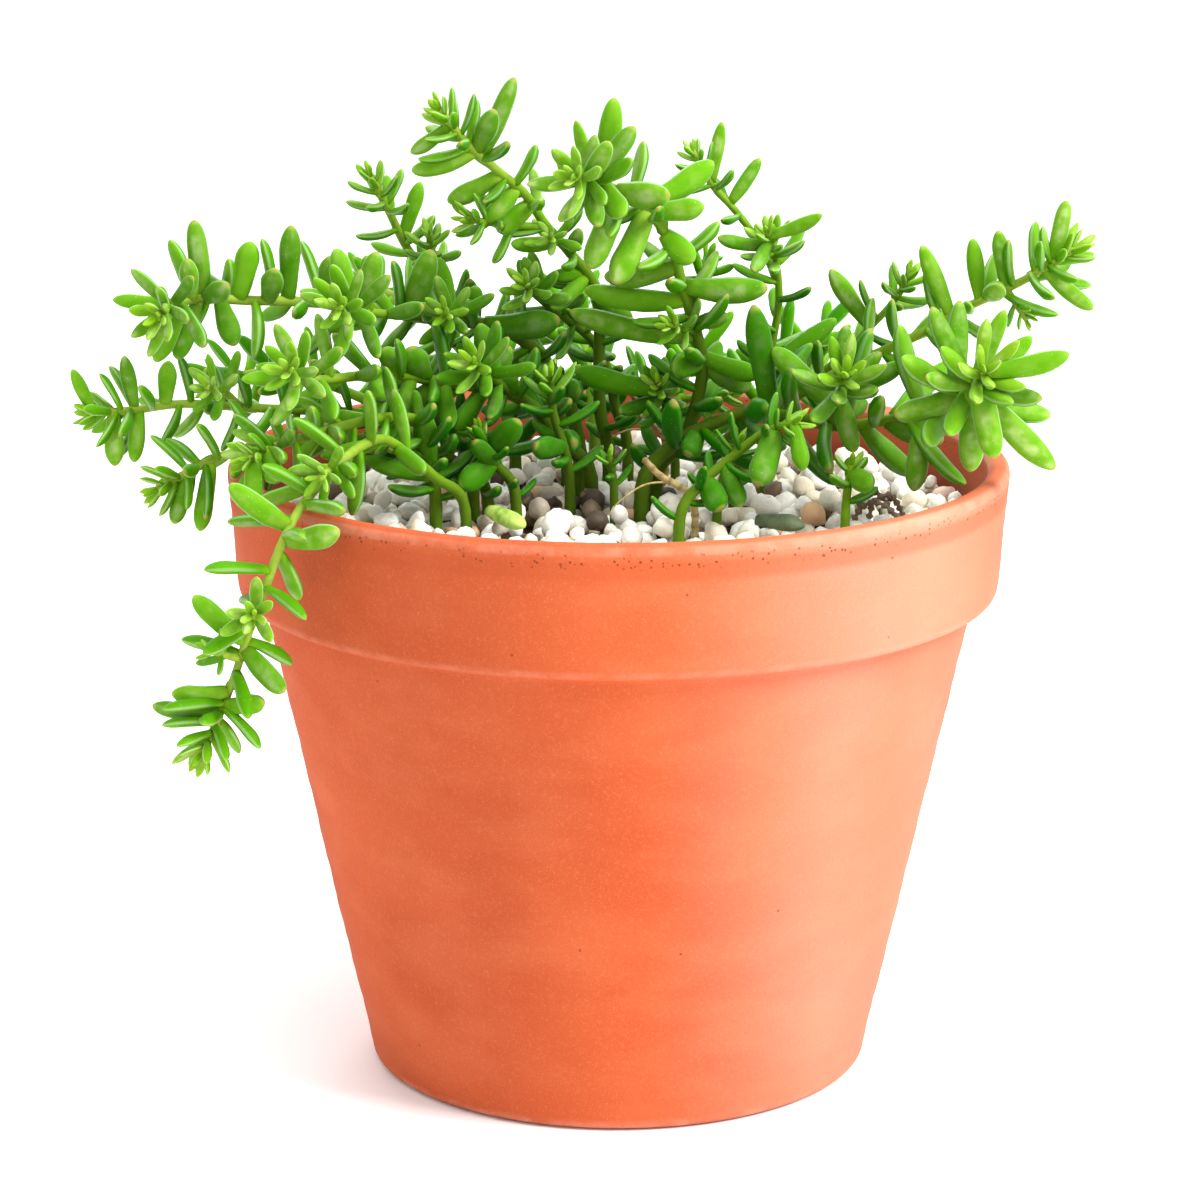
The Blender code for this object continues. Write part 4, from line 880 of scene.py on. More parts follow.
# %% Plan the leaves
GOLDEN_TURN = math.radians(137.508)
LEAF_SLENDER = 0.275
LEAF_WIDEST = 0.66
FOOT_TAPER = 0.42
LEAF_BEND = 0.35
BIG_SAG = 0.10
BUD_SIZE = 0.26
BUD_LEAN = 16
LEAN_MORE = 62
FIRST_LEAF = 0.4
BUD_GAP = 0.35
GAP_MORE = 0.60
AGE_POWER = 0.75
TURN_DRAW = 0.2
LENGTH_DRAW = 0.12
WIDTH_DRAW = 0.10
LEAN_DRAW = 9
GAP_DRAW = 0.2
TRY_SIZES = (1.0, 0.85, 0.7)
TRY_TURNS = (0, 14, -14, 28, -28, 45, -45)
TRY_RISES = (0, -14, 14)
LEAF_LOW = 120.4
CLEAR = 0.5
OWN_OVERLAP = 0.6
TWIG_RADIUS = 0.9
BALLS = np.linspace(0.0, 0.96, 8)
OUTER_BALLS = BALLS > 0.45
NO_BALLS = BALLS < 0
SEED = 7


def leaf_radius(t, point=0.0):
    """Half the width along a leaf, as a share of its largest: a slimmer foot, widest past the middle.

    Up to the widest point it is 1 less a parabola, and past it a quarter of an ellipse, raised to the power
    1 + point, which sharpens the tip.
    """
    foot = 1 - FOOT_TAPER * ((LEAF_WIDEST - np.minimum(t, LEAF_WIDEST)) / LEAF_WIDEST) ** 2
    tip = np.sqrt(np.maximum(0, 1 - ((np.maximum(t, LEAF_WIDEST) - LEAF_WIDEST) / (1 - LEAF_WIDEST)) ** 2))
    return foot * tip ** (1 + point)


def bent(foot, handle, tip, t):
    """Points of a leaf's bent axis: a parabola from its foot, by way of its middle handle, to its tip."""
    return foot * (1 - t) ** 2 + handle * 2 * t * (1 - t) + tip * t ** 2


class Room:
    """The space that is already taken, as balls that belong to a shoot, and the pot and gravel as rules."""

    def __init__(self):
        self.centres = np.zeros((0, 3))
        self.radii = np.zeros(0)
        self.owners = np.zeros(0, int)

    def take(self, centres, radii, owner):
        """Adds balls that later leaves keep clear of."""
        self.centres = np.vstack([self.centres, centres])
        self.radii = np.append(self.radii, radii)
        self.owners = np.append(self.owners, np.full(len(radii), owner))

    def is_free(self, centres, radii, owner, outer):
        """Whether a leaf's balls clear the pot, the gravel, the other shoots, and roughly their own shoot.

        In their own shoot only the outer balls count, and they may press in by OWN_OVERLAP.
        """
        low = centres[:, 2] - radii
        reach = np.hypot(centres[:, 0], centres[:, 1])
        over_pot = (reach + radii > RIM_RADIUS - COLLAR_WALL - CLEAR) & (reach - radii < RIM_RADIUS + CLEAR)
        if np.any(over_pot & (low < POT_HEIGHT + CLEAR)) or np.any((reach < RIM_RADIUS) & (low < LEAF_LOW)):
            return False
        apart = np.linalg.norm(self.centres - centres[:, None], axis=2) - self.radii - radii[:, None]
        others = self.owners != owner
        return not np.any(apart[:, others] < CLEAR) and not np.any(apart[outer][:, ~others] < -OWN_OVERLAP)

    def settle(self, leaf, owner, outer):
        """Takes the room of a leaf, as balls along its axis, if it's all free, and says whether it was."""
        centres = bent(leaf["foot"], leaf["handle"], leaf["tip"], BALLS[:, None])
        radii = leaf_radius(BALLS) * leaf["width"] / 2
        free = self.is_free(centres, radii, owner, outer)
        if free:
            self.take(centres, radii, owner)
        return free


def aimed_leaf(foot, stem_way, out_way, lean, length, width, age):
    """A leaf that leaves the stem at an angle and curves back towards the stem's tip and the light."""
    start = math.cos(lean) * stem_way + math.sin(lean) * out_way
    handle = foot + start * length * 0.5
    onward = unit(start + LEAF_BEND * stem_way + np.array([0, 0, 0.5 * LEAF_BEND]))
    tip = handle + onward * length * 0.5
    return {"foot": foot, "handle": handle, "tip": tip, "width": width, "side": np.cross(stem_way, start),
            "age": age}


def big_leaf(foot, tip, width):
    """A leaf whose place is listed. It hangs through in the middle, so that its tip curves up."""
    length = np.linalg.norm(tip - foot)
    way = (tip - foot) / length
    sag = np.array([0, 0, -BIG_SAG * length * math.hypot(way[0], way[1])])
    return {"foot": foot, "handle": (foot + tip) / 2 + sag, "tip": tip, "width": width,
            "side": np.cross(way, (0.0, 1.0, 0.0)), "age": 1.0}


def ruled_leaves(stem, line, rng):
    """The leaves of a stem by rule, tip first: for each, the ways to try it, the best one first.

    The length grows from BUD_SIZE to 1 of a grown leaf's with age, and age is the leaf's count from the tip
    over the rosette's, to the power AGE_POWER. Four draws from -1 to 1 vary each leaf's turn, length, lean
    and width, and the second one also the gap to the next leaf below the rosette.
    """
    along = length_along(line)
    tangents, normals = line_frames(line)
    back = FIRST_LEAF
    count = 0
    while back < along[-1] - stem["bare"]:
        draw = rng.uniform(-1, 1, 4)
        age = min(1.0, (count + 1) / stem["rosette"]) ** AGE_POWER
        place = along[-1] - back
        foot = read_off(line, along, place)
        way = unit(read_off(tangents, along, place))
        normal = read_off(normals, along, place)
        normal = unit(normal - way * (normal @ way))
        azimuth = math.radians(stem["turn"]) + count * GOLDEN_TURN + TURN_DRAW * draw[0]
        size = BUD_SIZE + (1 - BUD_SIZE) * age
        length = stem["leaf"] * size * (1 + LENGTH_DRAW * draw[1])
        width = stem["leaf"] * LEAF_SLENDER * stem["plump"] * size * (1 + WIDTH_DRAW * draw[3])
        lean = math.radians(BUD_LEAN + LEAN_MORE * age + LEAN_DRAW * draw[2])
        tries = []
        for share, turn, rise in product(TRY_SIZES, TRY_TURNS, TRY_RISES):
            angle = azimuth + math.radians(turn)
            out = math.cos(angle) * normal + math.sin(angle) * np.cross(way, normal)
            tries.append(aimed_leaf(foot, way, out, lean + math.radians(rise), length * share,
                                    width * (0.5 + 0.5 * share), age))
        yield tries
        count += 1
        if count < stem["rosette"]:
            back += BUD_GAP + GAP_MORE * age
        else:
            back += stem["gap"] * (1 + GAP_DRAW * draw[1])


def plan_plant():
    """Places every stem, then every leaf where it clears what is there, and returns them by shoot."""
    room = Room()
    stems = {name: [] for name in SHOOTS}
    leaves = {name: [] for name in SHOOTS}
    for owner, (name, plans) in enumerate(SHOOTS.items()):
        for stem in plans:
            line = stem_line(stem["route"], stems[name][0][1] if stems[name] else None)
            radii = np.linspace(stem["thick"], stem["thin"], len(line))
            stems[name].append((stem, line, radii))
            index = np.arange(len(line))
            dense = np.linspace(0, len(line) - 1, 6 * len(line))
            room.take(read_off(line, index, dense), np.interp(dense, index, radii), owner)
    for owner, route in enumerate(DRY_TWIGS.values(), len(SHOOTS)):
        line = stem_line(route)
        room.take(line, np.full(len(line), TWIG_RADIUS), owner)
    for owner, name in enumerate(SHOOTS):
        for stem, line, radii in stems[name]:
            for x, y, z, *tip, width in stem["big"]:
                leaf = big_leaf(nearest_on(line, (x, y, z)), np.array(tip), width)
                if room.settle(leaf, owner, NO_BALLS):
                    leaves[name].append(leaf)
    rng = np.random.default_rng(SEED)
    for owner, name in enumerate(SHOOTS):
        for stem, line, radii in stems[name]:
            for tries in ruled_leaves(stem, line, rng):
                found = next((leaf for leaf in tries if room.settle(leaf, owner, OUTER_BALLS)), None)
                if found:
                    leaves[name].append(found)
    return stems, leaves, room


STEMS, LEAVES, ROOM = plan_plant()
print(sum(map(len, LEAVES.values())), "leaves on", sum(map(len, STEMS.values())), "stems")

# %% [markdown]
# ## A leaf's surface
# A leaf is a plump finger: narrow at its foot, widest past the middle, round at the tip, flatter above than
# below, with the faintest groove along its upper face. Its skin is a ring that is carried along the bent
# axis. All leaves of a shoot are worked out in one go, with slight swellings that differ from leaf to leaf.
# Low in the middle of the plant leaves are a deeper green, so each carries how deep in shade it stands.

# %% Grow the leaves
LEAF_COLUMNS = 10
LEAF_ROWS = 6
TIP_ROWS = 5
LEAF_FLATNESS = 0.74
FLATTER_ABOVE = 0.16
LEAF_START = 0.03
SWELLING = 0.045
SWELL_WAVES = 1.4
GROOVE = 0.14
GROOVE_WIDTH = 0.35
GROOVE_END = 0.95
SHARPEST = 0.9
BLUNT = 0.12
SHADE_TOP = 166.0
SHADE_DEPTH = 34.0
SHADE_REACH = 62.0
SHADE_EDGE = 28.0


def shade_of(places):
    """The shade at some places, from 0 to 1: the depth below the crown times the nearness to the axis."""
    reach = np.hypot(places[:, 0], places[:, 1])
    low = np.clip((SHADE_TOP - places[:, 2]) / SHADE_DEPTH, 0, 1)
    return low * np.clip((SHADE_REACH - reach) / SHADE_EDGE, 0, 1)


def leaf_skins(leaves, draws):
    """Closed skins of many leaves, and the marks of their points.

    The point at angle a of the ring at t lies at half * cos a sideways and half * flat * sin a upwards, where
    flat is smaller above than below, and a narrow groove is taken off the top.
    """
    foot, handle, tip, side = (np.array([leaf[key] for leaf in leaves])[:, None]
                               for key in ("foot", "handle", "tip", "side"))
    width, age = (np.array([leaf[key] for leaf in leaves]) for key in ("width", "age"))
    body = np.linspace(LEAF_START, LEAF_WIDEST, LEAF_ROWS)
    cap = LEAF_WIDEST + (1 - LEAF_WIDEST) * np.sin(np.linspace(0, math.pi / 2, TIP_ROWS + 2)[1:-1])
    t = np.concatenate([body, cap])[None, :, None]
    way = unit((handle - foot) * (1 - t) + (tip - handle) * t)
    across = unit(side - way * np.sum(side * way, axis=-1, keepdims=True))
    up = np.cross(way, across)
    angle = np.arange(LEAF_COLUMNS) * math.tau / LEAF_COLUMNS
    sine, cosine = np.sin(angle), np.cos(angle)
    swell = 1 + SWELLING * np.sin(math.tau * (SWELL_WAVES * t[..., 0] + draws[:, :1]))
    profile = leaf_radius(t[..., 0], SHARPEST * (1 - age[:, None]) + BLUNT)
    half = (profile * swell * width[:, None] / 2)[..., None]
    lengthwise = np.sin(math.pi * np.clip(t, 0, GROOVE_END))
    dip = GROOVE * np.exp(-(cosine / GROOVE_WIDTH) ** 2) * (sine > 0.3) * lengthwise
    rise = half * ((LEAF_FLATNESS - FLATTER_ABOVE * sine) * sine - dip)
    out = half * cosine
    rings = (bent(foot, handle, tip, t)[:, :, None] + out[..., None] * across[:, :, None]
             + rise[..., None] * up[:, :, None])
    marks = {"along": on_skins(t, out.shape, 0, 1), "upper": on_skins(sine, out.shape, 0, 0)}
    for name, values in (("tone", draws[:, 1]), ("age", age), ("shade", shade_of(foot[:, 0]))):
        marks[name] = on_skins(values[:, None, None], out.shape, values, values)
    return closed_skins(rings, foot[:, 0], tip[:, 0]), marks


# %% [markdown]
# ## A stem's surface
# A stem is a tube that thins towards its tip. Where leaves have fallen it keeps low rings, so the radius
# swells a little at each scar along the bare stretch. Its colour goes from olive low in the middle of the pot
# to a pale yellow-green further out, where it's young, so each point carries how far out it lies.

# %% Grow the stems
STEM_COLUMNS = 9
FINE_STEP = 1.1
SCAR_SWELL = 0.10
SCAR_WIDTH = 0.13
SCARS_PAST = 14.0
SCARS_FADE = 12.0
YOUNG_SCAR = 0.25
ROOT_MIDDLE = np.array([0.0, 5.0, 118.0])
YOUNG_FROM = 30.0
YOUNG_OVER = 58.0


def tube_skin(line, radii, columns):
    """A closed tube: at each point of the line, a ring of that radius, and a low dome at either end."""
    tangents, normals = line_frames(line)
    others = np.cross(tangents, normals)
    angle = np.arange(columns) * math.tau / columns
    ring = np.cos(angle)[None, :, None] * normals[:, None] + np.sin(angle)[None, :, None] * others[:, None]
    rings = line[:, None] + np.asarray(radii)[:, None, None] * ring
    first = line[:1] - tangents[:1] * radii[0] * 0.5
    last = line[-1:] + tangents[-1:] * radii[-1] * 0.5
    return closed_skins(rings[None], first, last)


def ring_bumps(along, gap, width):
    """A narrow bump in every gap along a stem: exp(-(x / width)^2), with x from the gap's middle."""
    return np.exp(-(((along / gap) % 1.0 - 0.5) / width) ** 2)


def add_stem(heap, stem, line, radii, tone):
    """Puts one stem on the heap: a smooth line through the coarse one, its scars, and its marks."""
    fine = smooth_line(line, FINE_STEP)
    along = length_along(fine)
    scarred = np.clip((stem["bare"] + SCARS_PAST - along) / SCARS_FADE, YOUNG_SCAR, 1)
    radius = np.interp(along / along[-1], np.linspace(0, 1, len(radii)), radii)
    radius = radius * (1 + SCAR_SWELL * ring_bumps(along, stem["gap"], SCAR_WIDTH) * scarred)
    youth = np.clip((np.linalg.norm(fine - ROOT_MIDDLE, axis=1) - YOUNG_FROM) / YOUNG_OVER, 0, 1)
    marks = on_skins(youth[:, None], (1, len(fine), STEM_COLUMNS), youth[0], youth[-1])
    heap.add(tube_skin(fine, radius, STEM_COLUMNS), along=marks, upper=0.0, tone=tone, age=1.0, shade=0.0,
             woody=1.0)


# %% [markdown]
# ## The green finish
# The leaves are waxy and full of water: bright green, yellower at the heart of a rosette and deeper green when
# old, with a pale margin, a yellower foot and a brownish dot at the tip of some. Painted shade darkens their
# undersides and the leaves low in the middle of the plant, a painted highlight pales their upper faces in
# soft patches, and fine pale specks are painted glints. Light passes into them a little, which subsurface
# scattering gives. Stems share the finish and switch to their own colours by the mark that says that a point
# is on a stem.

# %% Colour the green parts
LEAF_GREEN = (0.100, 0.320, 0.003)
LEAF_DEEP = (0.012, 0.135, 0.001)
LEAF_YOUNG = (0.205, 0.410, 0.008)
LEAF_PALE = (0.440, 0.560, 0.090)
# A pale colour for the leaf margins and for the painted gloss on the upper faces.
LEAF_MARGIN_AND_GLOSS = (0.600, 0.690, 0.410)
# The colour of fine pale specks that are painted glints on the leaves.
LEAF_GLINT = (0.75, 0.86, 0.55)
TIP_BROWN = (0.330, 0.170, 0.070)
STEM_ROOT = (0.070, 0.130, 0.008)
STEM_MIDDLE = (0.150, 0.300, 0.012)
STEM_YOUNG = (0.300, 0.420, 0.050)


def sedum_finish():
    """Leaf and stem in one material, told apart by the mark woody."""
    recipe = Recipe("sedum", Subsurface_Weight=0.18, Subsurface_Radius=(0.6, 1.0, 0.25),
                    Subsurface_Scale=0.0018, Specular_IOR_Level=0.14, Specular_Tint=(0.45, 1.0, 0.12, 1.0))
    marks = ("along", "upper", "tone", "age", "shade", "woody")
    along, upper, tone, age, shade, woody = map(recipe.mark, marks)
    blotch = recipe.clouds(3.2, 2)
    fine = recipe.clouds(0.35, 2)
    margin = (1 - (upper * upper).over(0.0, 0.14)) * along.over(0.15, 0.4)
    # Painted highlight: a pale sheen over the upper faces, in soft patches.
    painted_sheen = upper.over(0.0, 1.0) * blotch.over(0.15, 0.80) * (0.18 + 0.34 * tone.over(0.2, 0.6))
    # Painted highlight: a whiter gloss on the tops of the upper faces.
    painted_gloss = upper.over(0.72, 1.0) * blotch.over(0.40, 0.80) * along.over(0.2, 0.5) * tone.over(0.1, 0.8)
    # Painted shade: undersides and the leaves low in the middle turn a deeper green, on top of old leaves' own
    # deeper green and the random tone.
    clear = (1 - 0.50 * tone.over(0.45, 1.0)) * (1 - 0.78 * shade)
    deep_green_and_shade = age.over(0.4, 1.0) * (1 - clear) + 0.34 * (1 - upper.over(-0.9, 0.3))
    # The fine pale specks among these coats are painted glints.
    leaf = recipe.layers(
        LEAF_YOUNG, (age.over(0.15, 0.85), LEAF_GREEN), ((1 - along.over(0.02, 0.24)) * 0.65, LEAF_YOUNG),
        (margin * (0.22 + 0.34 * tone), LEAF_MARGIN_AND_GLOSS), (painted_sheen, LEAF_PALE), (painted_gloss * 0.55, LEAF_MARGIN_AND_GLOSS),
        (deep_green_and_shade, LEAF_DEEP), (recipe.dots(0.9, 0.10, 0.40) * 0.45, LEAF_GLINT),
        (along.over(0.92, 0.99) * (0.15 + 0.30 * tone), LEAF_PALE),
        (along.over(0.950, 0.995) * tone.over(0.35, 0.65) * 0.6, TIP_BROWN))
    stem = recipe.layers(
        STEM_ROOT, (along.over(0.05, 0.50), STEM_MIDDLE), (along.over(0.45, 0.95) * 0.9, STEM_YOUNG),
        (blotch.over(0.45, 0.7) * 0.3, STEM_ROOT))
    colour = recipe.layers(leaf, (woody, stem))
    roughness = 0.32 + 0.16 * fine + 0.14 * woody
    return recipe.finish(colour, roughness, fine * 0.5 + blotch * 0.5, 0.10)


def make_shoots(finish):
    """One piece for each shoot: its stems and all of its leaves."""
    rng = np.random.default_rng(SEED + 1)
    for name in SHOOTS:
        heap = Heap()
        for stem, line, radii in STEMS[name]:
            add_stem(heap, stem, line, radii, rng.uniform())
        skins, marks = leaf_skins(LEAVES[name], rng.uniform(size=(len(LEAVES[name]), 2)))
        heap.add(skins, woody=0.0, **marks)
        seat(heap.piece(name.replace("shoot", "sprig"), finish), "leaf", name)


make_shoots(sedum_finish())
print("after the shoots:", count_triangles(), "triangles")

# %% [markdown]
# ## The gravel
# The dressing is small rounded stone chips, mostly white. They're laid as they're poured: one by one, each at
# the lowest of a few random places where it would come to rest on the ones below. That packs the bed tightly
# and leaves an uneven top with small dark gaps. The stems, the wall and the fallen leaves keep their places.
# The neighbours count as a little smaller than they are, so the stones nest into each other.

# %% Pour the gravel
SOIL_TOP = 112.0
GRAVEL_LINE = 119.6
PEBBLE_SIZES = (1.45, 3.3)
PEBBLE_SPREAD = (1.6, 1.9)
PEBBLE_TRIES = 16
PEBBLE_NEST = 0.90
WALL_NEST = 0.95
STILL_NEST = 0.92
SOIL_NEST = 0.7
TOP_NEST = 0.8
MOST_PEBBLES = 1750
MOST_MISSES = 60
STILL_TOP = 132.0
FALLEN_THICKNESS = 0.9
FALLEN_BALLS = 7
FALLEN_BALL = 0.36


def still_things():
    """Balls that the gravel keeps clear of: stems and twigs near the bed, and the fallen leaves."""
    near = (ROOM.centres[:, 2] < STILL_TOP) & (np.hypot(ROOM.centres[:, 0], ROOM.centres[:, 1]) < RIM_RADIUS)
    centres, radii = [ROOM.centres[near]], [ROOM.radii[near]]
    feet = [(stems[0]["route"][0], stems[0]["thick"]) for stems in SHOOTS.values()]
    feet += [(route[0], TWIG_RADIUS) for route in DRY_TWIGS.values()]
    heights = np.arange(SOIL_TOP, ROOT_COLLAR + 1, 1.0)
    for (x, y), radius in feet:
        centres.append(np.column_stack([np.full(len(heights), x), np.full(len(heights), y), heights]))
        radii.append(np.full(len(heights), radius))
    for foot, tip, width in FALLEN_LEAVES.values():
        axis = np.linspace(foot, tip, FALLEN_BALLS)
        for rise in (0.0, FALLEN_THICKNESS * width):
            centres.append(axis + np.array([0, -0.3 * rise, rise]))
            radii.append(np.full(FALLEN_BALLS, FALLEN_BALL * width))
    return np.vstack(centres), np.concatenate(radii)


def pour(rng):
    """Centres and radii of the pebbles. A ball rests at z + sqrt((r + R)^2 - d^2) on one that it meets."""
    still, still_radii = still_things()
    placed = np.zeros((0, 3))
    radii = np.zeros(0)
    misses = 0
    while len(radii) < MOST_PEBBLES and misses < MOST_MISSES:
        radius = PEBBLE_SIZES[0] + (PEBBLE_SIZES[1] - PEBBLE_SIZES[0]) * rng.beta(*PEBBLE_SPREAD)
        wall = inner_radius(GRAVEL_LINE) - radius * WALL_NEST
        reach = wall * np.sqrt(rng.uniform(size=PEBBLE_TRIES))
        turn = rng.uniform(0, math.tau, PEBBLE_TRIES)
        spots = np.column_stack([reach * np.cos(turn), reach * np.sin(turn)])
        away = np.linalg.norm(spots[:, None] - placed[None, :, :2], axis=2)
        lift = np.maximum(0, (PEBBLE_NEST * (radius + radii)) ** 2 - away ** 2)
        rest = np.where(lift > 0, placed[:, 2] + np.sqrt(lift), 0)
        rest = np.maximum(rest.max(axis=1, initial=0), SOIL_TOP + radius * SOIL_NEST)
        centres = np.column_stack([spots, rest])
        apart = np.linalg.norm(centres[:, None] - still[None], axis=2) - still_radii - radius * STILL_NEST
        rest = np.where((apart.min(axis=1) > 0) & (rest + radius * TOP_NEST < GRAVEL_LINE), rest, np.inf)
        best = int(np.argmin(rest))
        if not np.isfinite(rest[best]):
            misses += 1
            continue
        placed = np.vstack([placed, [[*spots[best], rest[best]]]])
        radii = np.append(radii, radius)
    return placed, radii


# %% [markdown]
# Each stone is a ball that is pressed flat by a dozen planes at random heights, with its edges rounded:
# along a direction d its radius is (sum of (d.n / h)^p + 1 / c^p)^(-1/p) over the planes' normals n and
# heights h. The constant c limits it, and a low power p gives a worn pebble, a high one a sharp chip. The
# ball is then stretched or pressed along its three axes.

# %% Shape the stones
STONE_ROWS = 6
STONE_COLUMNS = 9
STONE_PLANES = 13
STONE_POWERS = {6.0: 0.18, 12.0: 0.40, 30.0: 0.42}
STONE_ROUND = 1.12
STONE_AXES = ((1.0, 1.30), (0.88, 1.05), (0.72, 0.95))
PLANE_HEIGHTS = (0.70, 1.02)
PLANE_STRAY = 0.22
CRUMBS_AND_SHADE_PLACE = (-12.0, 4.0)
CRUMBS_AND_SHADE_REACH = 20.0


def fibonacci_ball(count):
    """Directions spread evenly over a ball, by the golden angle."""
    height = 1 - 2 * (np.arange(count) + 0.5) / count
    turn = np.arange(count) * GOLDEN_TURN
    flat = np.sqrt(1 - height ** 2)
    return np.column_stack([flat * np.cos(turn), flat * np.sin(turn), height])


def random_turns(rng, count):
    """A random rotation for each stone, from the right-handed frame of two random vectors."""
    first = unit(rng.normal(size=(count, 3)))
    second = rng.normal(size=(count, 3))
    second = unit(second - first * np.sum(first * second, axis=1, keepdims=True))
    return np.stack([first, second, np.cross(first, second)], axis=1)


def stone_skins(rng, centres, radii):
    """Closed skins of many stones, and the two draws that choose each one's colour and tone.

    Near the middle of the bed the first draw is moved towards 1, the dark end of the colours: dark crumbs,
    which also stand for painted shade between the stems there.
    """
    count = len(radii)
    polar = np.linspace(0, math.pi, STONE_ROWS + 2)[1:-1, None]
    turn = np.arange(STONE_COLUMNS) * math.tau / STONE_COLUMNS
    grid = [np.sin(polar) * np.cos(turn), np.sin(polar) * np.sin(turn), -np.cos(polar) + 0 * turn]
    ways = np.vstack([[(0, 0, -1)], np.stack(grid, axis=-1).reshape(-1, 3), [(0, 0, 1)]])
    normals = np.einsum("pi,nij->npj", fibonacci_ball(STONE_PLANES), random_turns(rng, count))
    normals = unit(normals + PLANE_STRAY * rng.normal(size=normals.shape))
    heights = rng.uniform(*PLANE_HEIGHTS, (count, STONE_PLANES))
    power = rng.choice(list(STONE_POWERS), count, p=list(STONE_POWERS.values()))[:, None]
    facing = np.maximum(0, np.einsum("md,npd->nmp", ways, normals)) / heights[:, None]
    reach = (np.sum(facing ** power[..., None], axis=2) + (1 / STONE_ROUND) ** power) ** (-1 / power)
    axes = np.column_stack([rng.uniform(low, high, count) for low, high in STONE_AXES])
    points = ways * reach[..., None] * axes[:, None] * radii[:, None, None]
    points = np.einsum("nmi,nij->nmj", points, random_turns(rng, count)) + centres[:, None]
    rings = points[:, 1:-1].reshape(count, STONE_ROWS, STONE_COLUMNS, 3)
    draws = rng.uniform(size=(count, 2))
    # Painted shade: the stones near the middle turn dark, partly as dark crumbs and partly for the shade
    # between the stems.
    near = np.hypot(centres[:, 0] - CRUMBS_AND_SHADE_PLACE[0], centres[:, 1] - CRUMBS_AND_SHADE_PLACE[1]) / CRUMBS_AND_SHADE_REACH
    draws[:, 0] += (1 - draws[:, 0]) * np.clip(1.5 - 1.5 * near, 0, 0.93)
    spread = np.repeat(draws, len(ways), axis=0)
    return closed_skins(rings, points[:, 0], points[:, -1]), {"kind": spread[:, 0], "tone": spread[:, 1]}


# %% [markdown]
# Most stones are white marble with a faint grey or cream cast. Now and then there's a tan, rosy, grey or
# brown one. A ramp with hard steps turns each stone's draw into its colour, and clouds and rusty veins vary
# it. A few dried roots lie on the gravel at the right and share its finish.

# %% Colour the stones
STONE_STOPS = [
    (0.00, (0.98, 0.95, 0.87)), (0.28, (0.94, 0.88, 0.75)), (0.46, (0.99, 0.97, 0.91)),
    (0.70, (0.89, 0.79, 0.62)), (0.78, (0.80, 0.77, 0.69)), (0.84, (0.90, 0.66, 0.54)),
    (0.88, (0.78, 0.47, 0.26)), (0.91, (0.50, 0.43, 0.34)), (0.94, (0.17, 0.115, 0.07)),
    (0.97, (0.075, 0.05, 0.032))]
STONE_RUST = (0.50, 0.30, 0.14)
LITTER = [[(48, -18, 119), (49, -19, 122.5), (51, -20, 124), (53, -21, 122.5), (55, -22, 119.5)],
          [(50, -22, 119), (51, -22, 122.5), (54, -21, 123.5), (56, -19, 121), (57, -18, 118.5)],
          [(47, -21, 118.5), (49, -22, 121.5), (52, -24, 122.5), (55, -25, 120.5), (57, -26, 118.5)]]


def stone_finish():
    """Each stone's colour from its draw, with clouds and rusty veins, and dust that roughens it."""
    recipe = Recipe("gravel", Specular_IOR_Level=0.45)
    kind, tone = recipe.mark("kind"), recipe.mark("tone")
    cloud = recipe.clouds(1.6, 3)
    veins = recipe.clouds(2.6, 2).over(0.60, 0.70)
    dust = recipe.clouds(0.35, 2)
    colour = recipe.dimmed(recipe.steps(kind, STONE_STOPS), 0.97 + 0.05 * tone + 0.12 * (cloud - 0.5))
    colour = recipe.layers(colour, (veins * tone.over(0.55, 0.9) * 0.45, STONE_RUST))
    return recipe.finish(colour, 0.45 + 0.25 * dust, cloud * 0.6 + dust * 0.4, 0.25)


def make_gravel():
    """The poured bed and the dried roots as one piece."""
    rng = np.random.default_rng(SEED + 2)
    centres, radii = pour(rng)
    skins, marks = stone_skins(rng, centres, radii)
    heap = Heap()
    heap.add(skins, **marks)
    for route in LITTER:
        line = smooth_line(route, 0.5)
        thickness = 0.55 + 0.30 * np.sin(np.arange(len(line)) * 1.9)
        heap.add(tube_skin(line, thickness, 7), kind=0.95, tone=0.4)
    seat(heap.piece("gravel_stones", stone_finish()), "gravel", "gravel_dressing")
    print(len(radii), "stones")


make_gravel()

# %% [markdown]
# ## Dead twigs and fallen leaves
# Two old stems have dried to tan twigs, ringed by leaf scars, each with a thin root hair. A pale leaf and a
# dark one lie on the stones. They use the same tube and leaf surfaces, with duller finishes.

# %% Add the dry parts
TWIG_TAN = (0.50, 0.38, 0.15)
TWIG_BROWN = (0.16, 0.10, 0.04)
TWIG_COLUMNS = 10
TWIG_TAPER = 0.75
SCAR_GAP = 2.3
TWIG_SCAR = 0.16
HAIR_RADII = (0.28, 0.12)
HAIR_COLUMNS = 6
FALLEN_COLOURS = {"fallen_leaf_pale": ((0.44, 0.60, 0.12), (0.17, 0.38, 0.03)),
                  "fallen_leaf_dark": ((0.09, 0.12, 0.055), (0.05, 0.075, 0.03))}
HAIRS = {"dry_twig_back": [(9, 28, 126.5), (2, 26, 127), (-4, 25, 124), (-8, 22, 121.5)],
         "dry_twig_front": [(11, -22, 126.5), (5, -23, 126), (0, -25, 123), (-2, -26, 120.5)]}


def dry_finish():
    """Tan bark with brown scars."""
    recipe = Recipe("dry_stem", Specular_IOR_Level=0.3)
    ring, along = recipe.mark("ring"), recipe.mark("along")
    cloud = recipe.clouds(1.4, 3)
    colour = recipe.layers(TWIG_TAN, (cloud.over(0.40, 0.65) * 0.5, TWIG_BROWN), (ring * 0.7, TWIG_BROWN),
                           (along.over(0.88, 1.0) * 0.6, TWIG_BROWN))
    return recipe.finish(colour, 0.8 + 0.1 * cloud, cloud, 0.25)


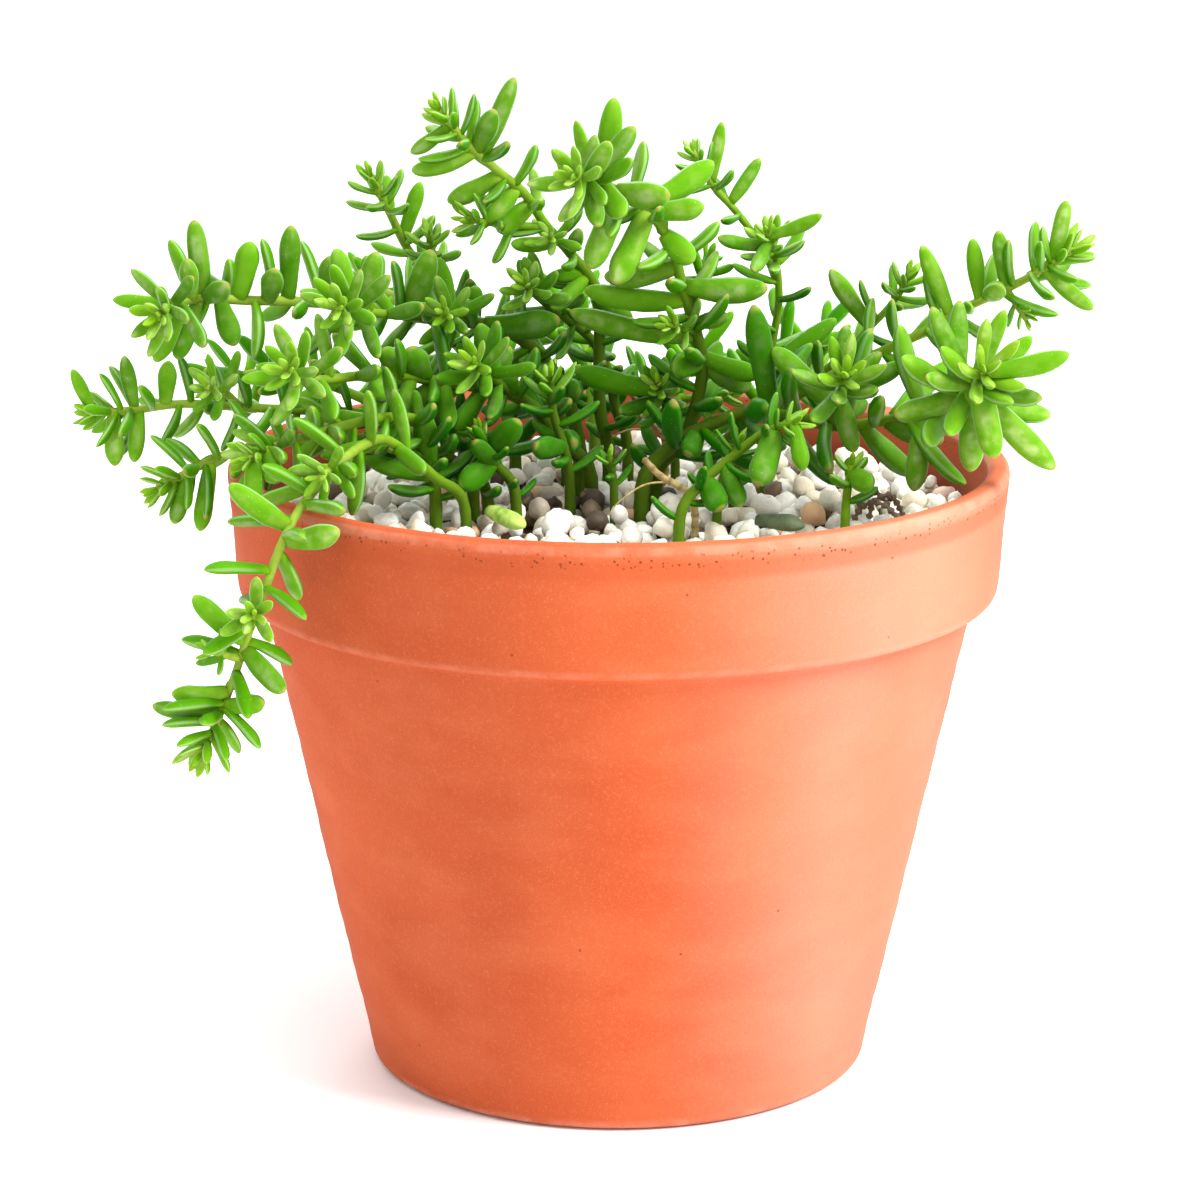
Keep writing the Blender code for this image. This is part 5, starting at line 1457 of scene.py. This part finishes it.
def fallen_finish(name):
    """A limp leaf, mottled between two colours."""
    recipe = Recipe(name, Specular_IOR_Level=0.35)
    cloud = recipe.clouds(2.5, 3)
    along = recipe.mark("along")
    one, other = FALLEN_COLOURS[name]
    colour = recipe.layers(one, (cloud.over(0.38, 0.62) * (1 - along.over(0.4, 0.9) * 0.6), other))
    return recipe.finish(colour, 0.45 + 0.2 * cloud, cloud, 0.3)


def make_twigs(finish):
    """The two twigs with their rings and hairs."""
    for name, route in DRY_TWIGS.items():
        fine = smooth_line(stem_line(route, step=TWIG_STEP), 0.35)
        along = length_along(fine)
        bump = ring_bumps(along, SCAR_GAP, TWIG_SCAR)
        radius = TWIG_RADIUS * np.linspace(1, TWIG_TAPER, len(fine)) * (0.94 + 0.20 * bump)
        shape = (1, len(fine), TWIG_COLUMNS)
        heap = Heap()
        heap.add(tube_skin(fine, radius, TWIG_COLUMNS), ring=on_skins(bump[:, None], shape, 0, 0),
                 along=on_skins((along / along[-1])[:, None], shape, 0, 1))
        hair = smooth_line(HAIRS[name], 0.8)
        heap.add(tube_skin(hair, np.linspace(*HAIR_RADII, len(hair)), HAIR_COLUMNS), ring=0.0, along=0.4)
        seat(heap.piece(name.replace("dry_twig", "dead_twig"), finish), "dry_stem", name)


def make_fallen_leaves():
    """The two leaves that lie on the stones."""
    for k, (name, (foot, tip, width)) in enumerate(FALLEN_LEAVES.items()):
        foot, tip = np.array(foot), np.array(tip)
        across = unit(np.cross(tip - foot, (0.0, 0.0, 1.0)))
        leaf = {"foot": foot, "handle": (foot + tip) / 2, "tip": tip, "width": width, "side": across,
                "age": 1.0}
        skins, marks = leaf_skins([leaf], np.array([[0.3 * k, 0.5]]))
        heap = Heap()
        heap.add(skins, along=marks["along"])
        piece = heap.piece(name.replace("fallen_leaf", "shed_leaf"), fallen_finish(name))
        seat(piece, "fallen_leaf", name)


make_twigs(dry_finish())
make_fallen_leaves()
print(count_triangles(), "triangles in all")

# %% [markdown]
# ## The size
# The finished pieces should lie in the model's box. Their box is printed in millimetres.

# %% Write the sizes
VISUAL_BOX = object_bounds()
boxes = {"cad": CAD_BOX, "visual": VISUAL_BOX}
{name: [list(corner) for corner in box] for name, box in boxes.items()}
print("finished model, mm:", [[round(c / MM, 1) for c in corner] for corner in VISUAL_BOX])
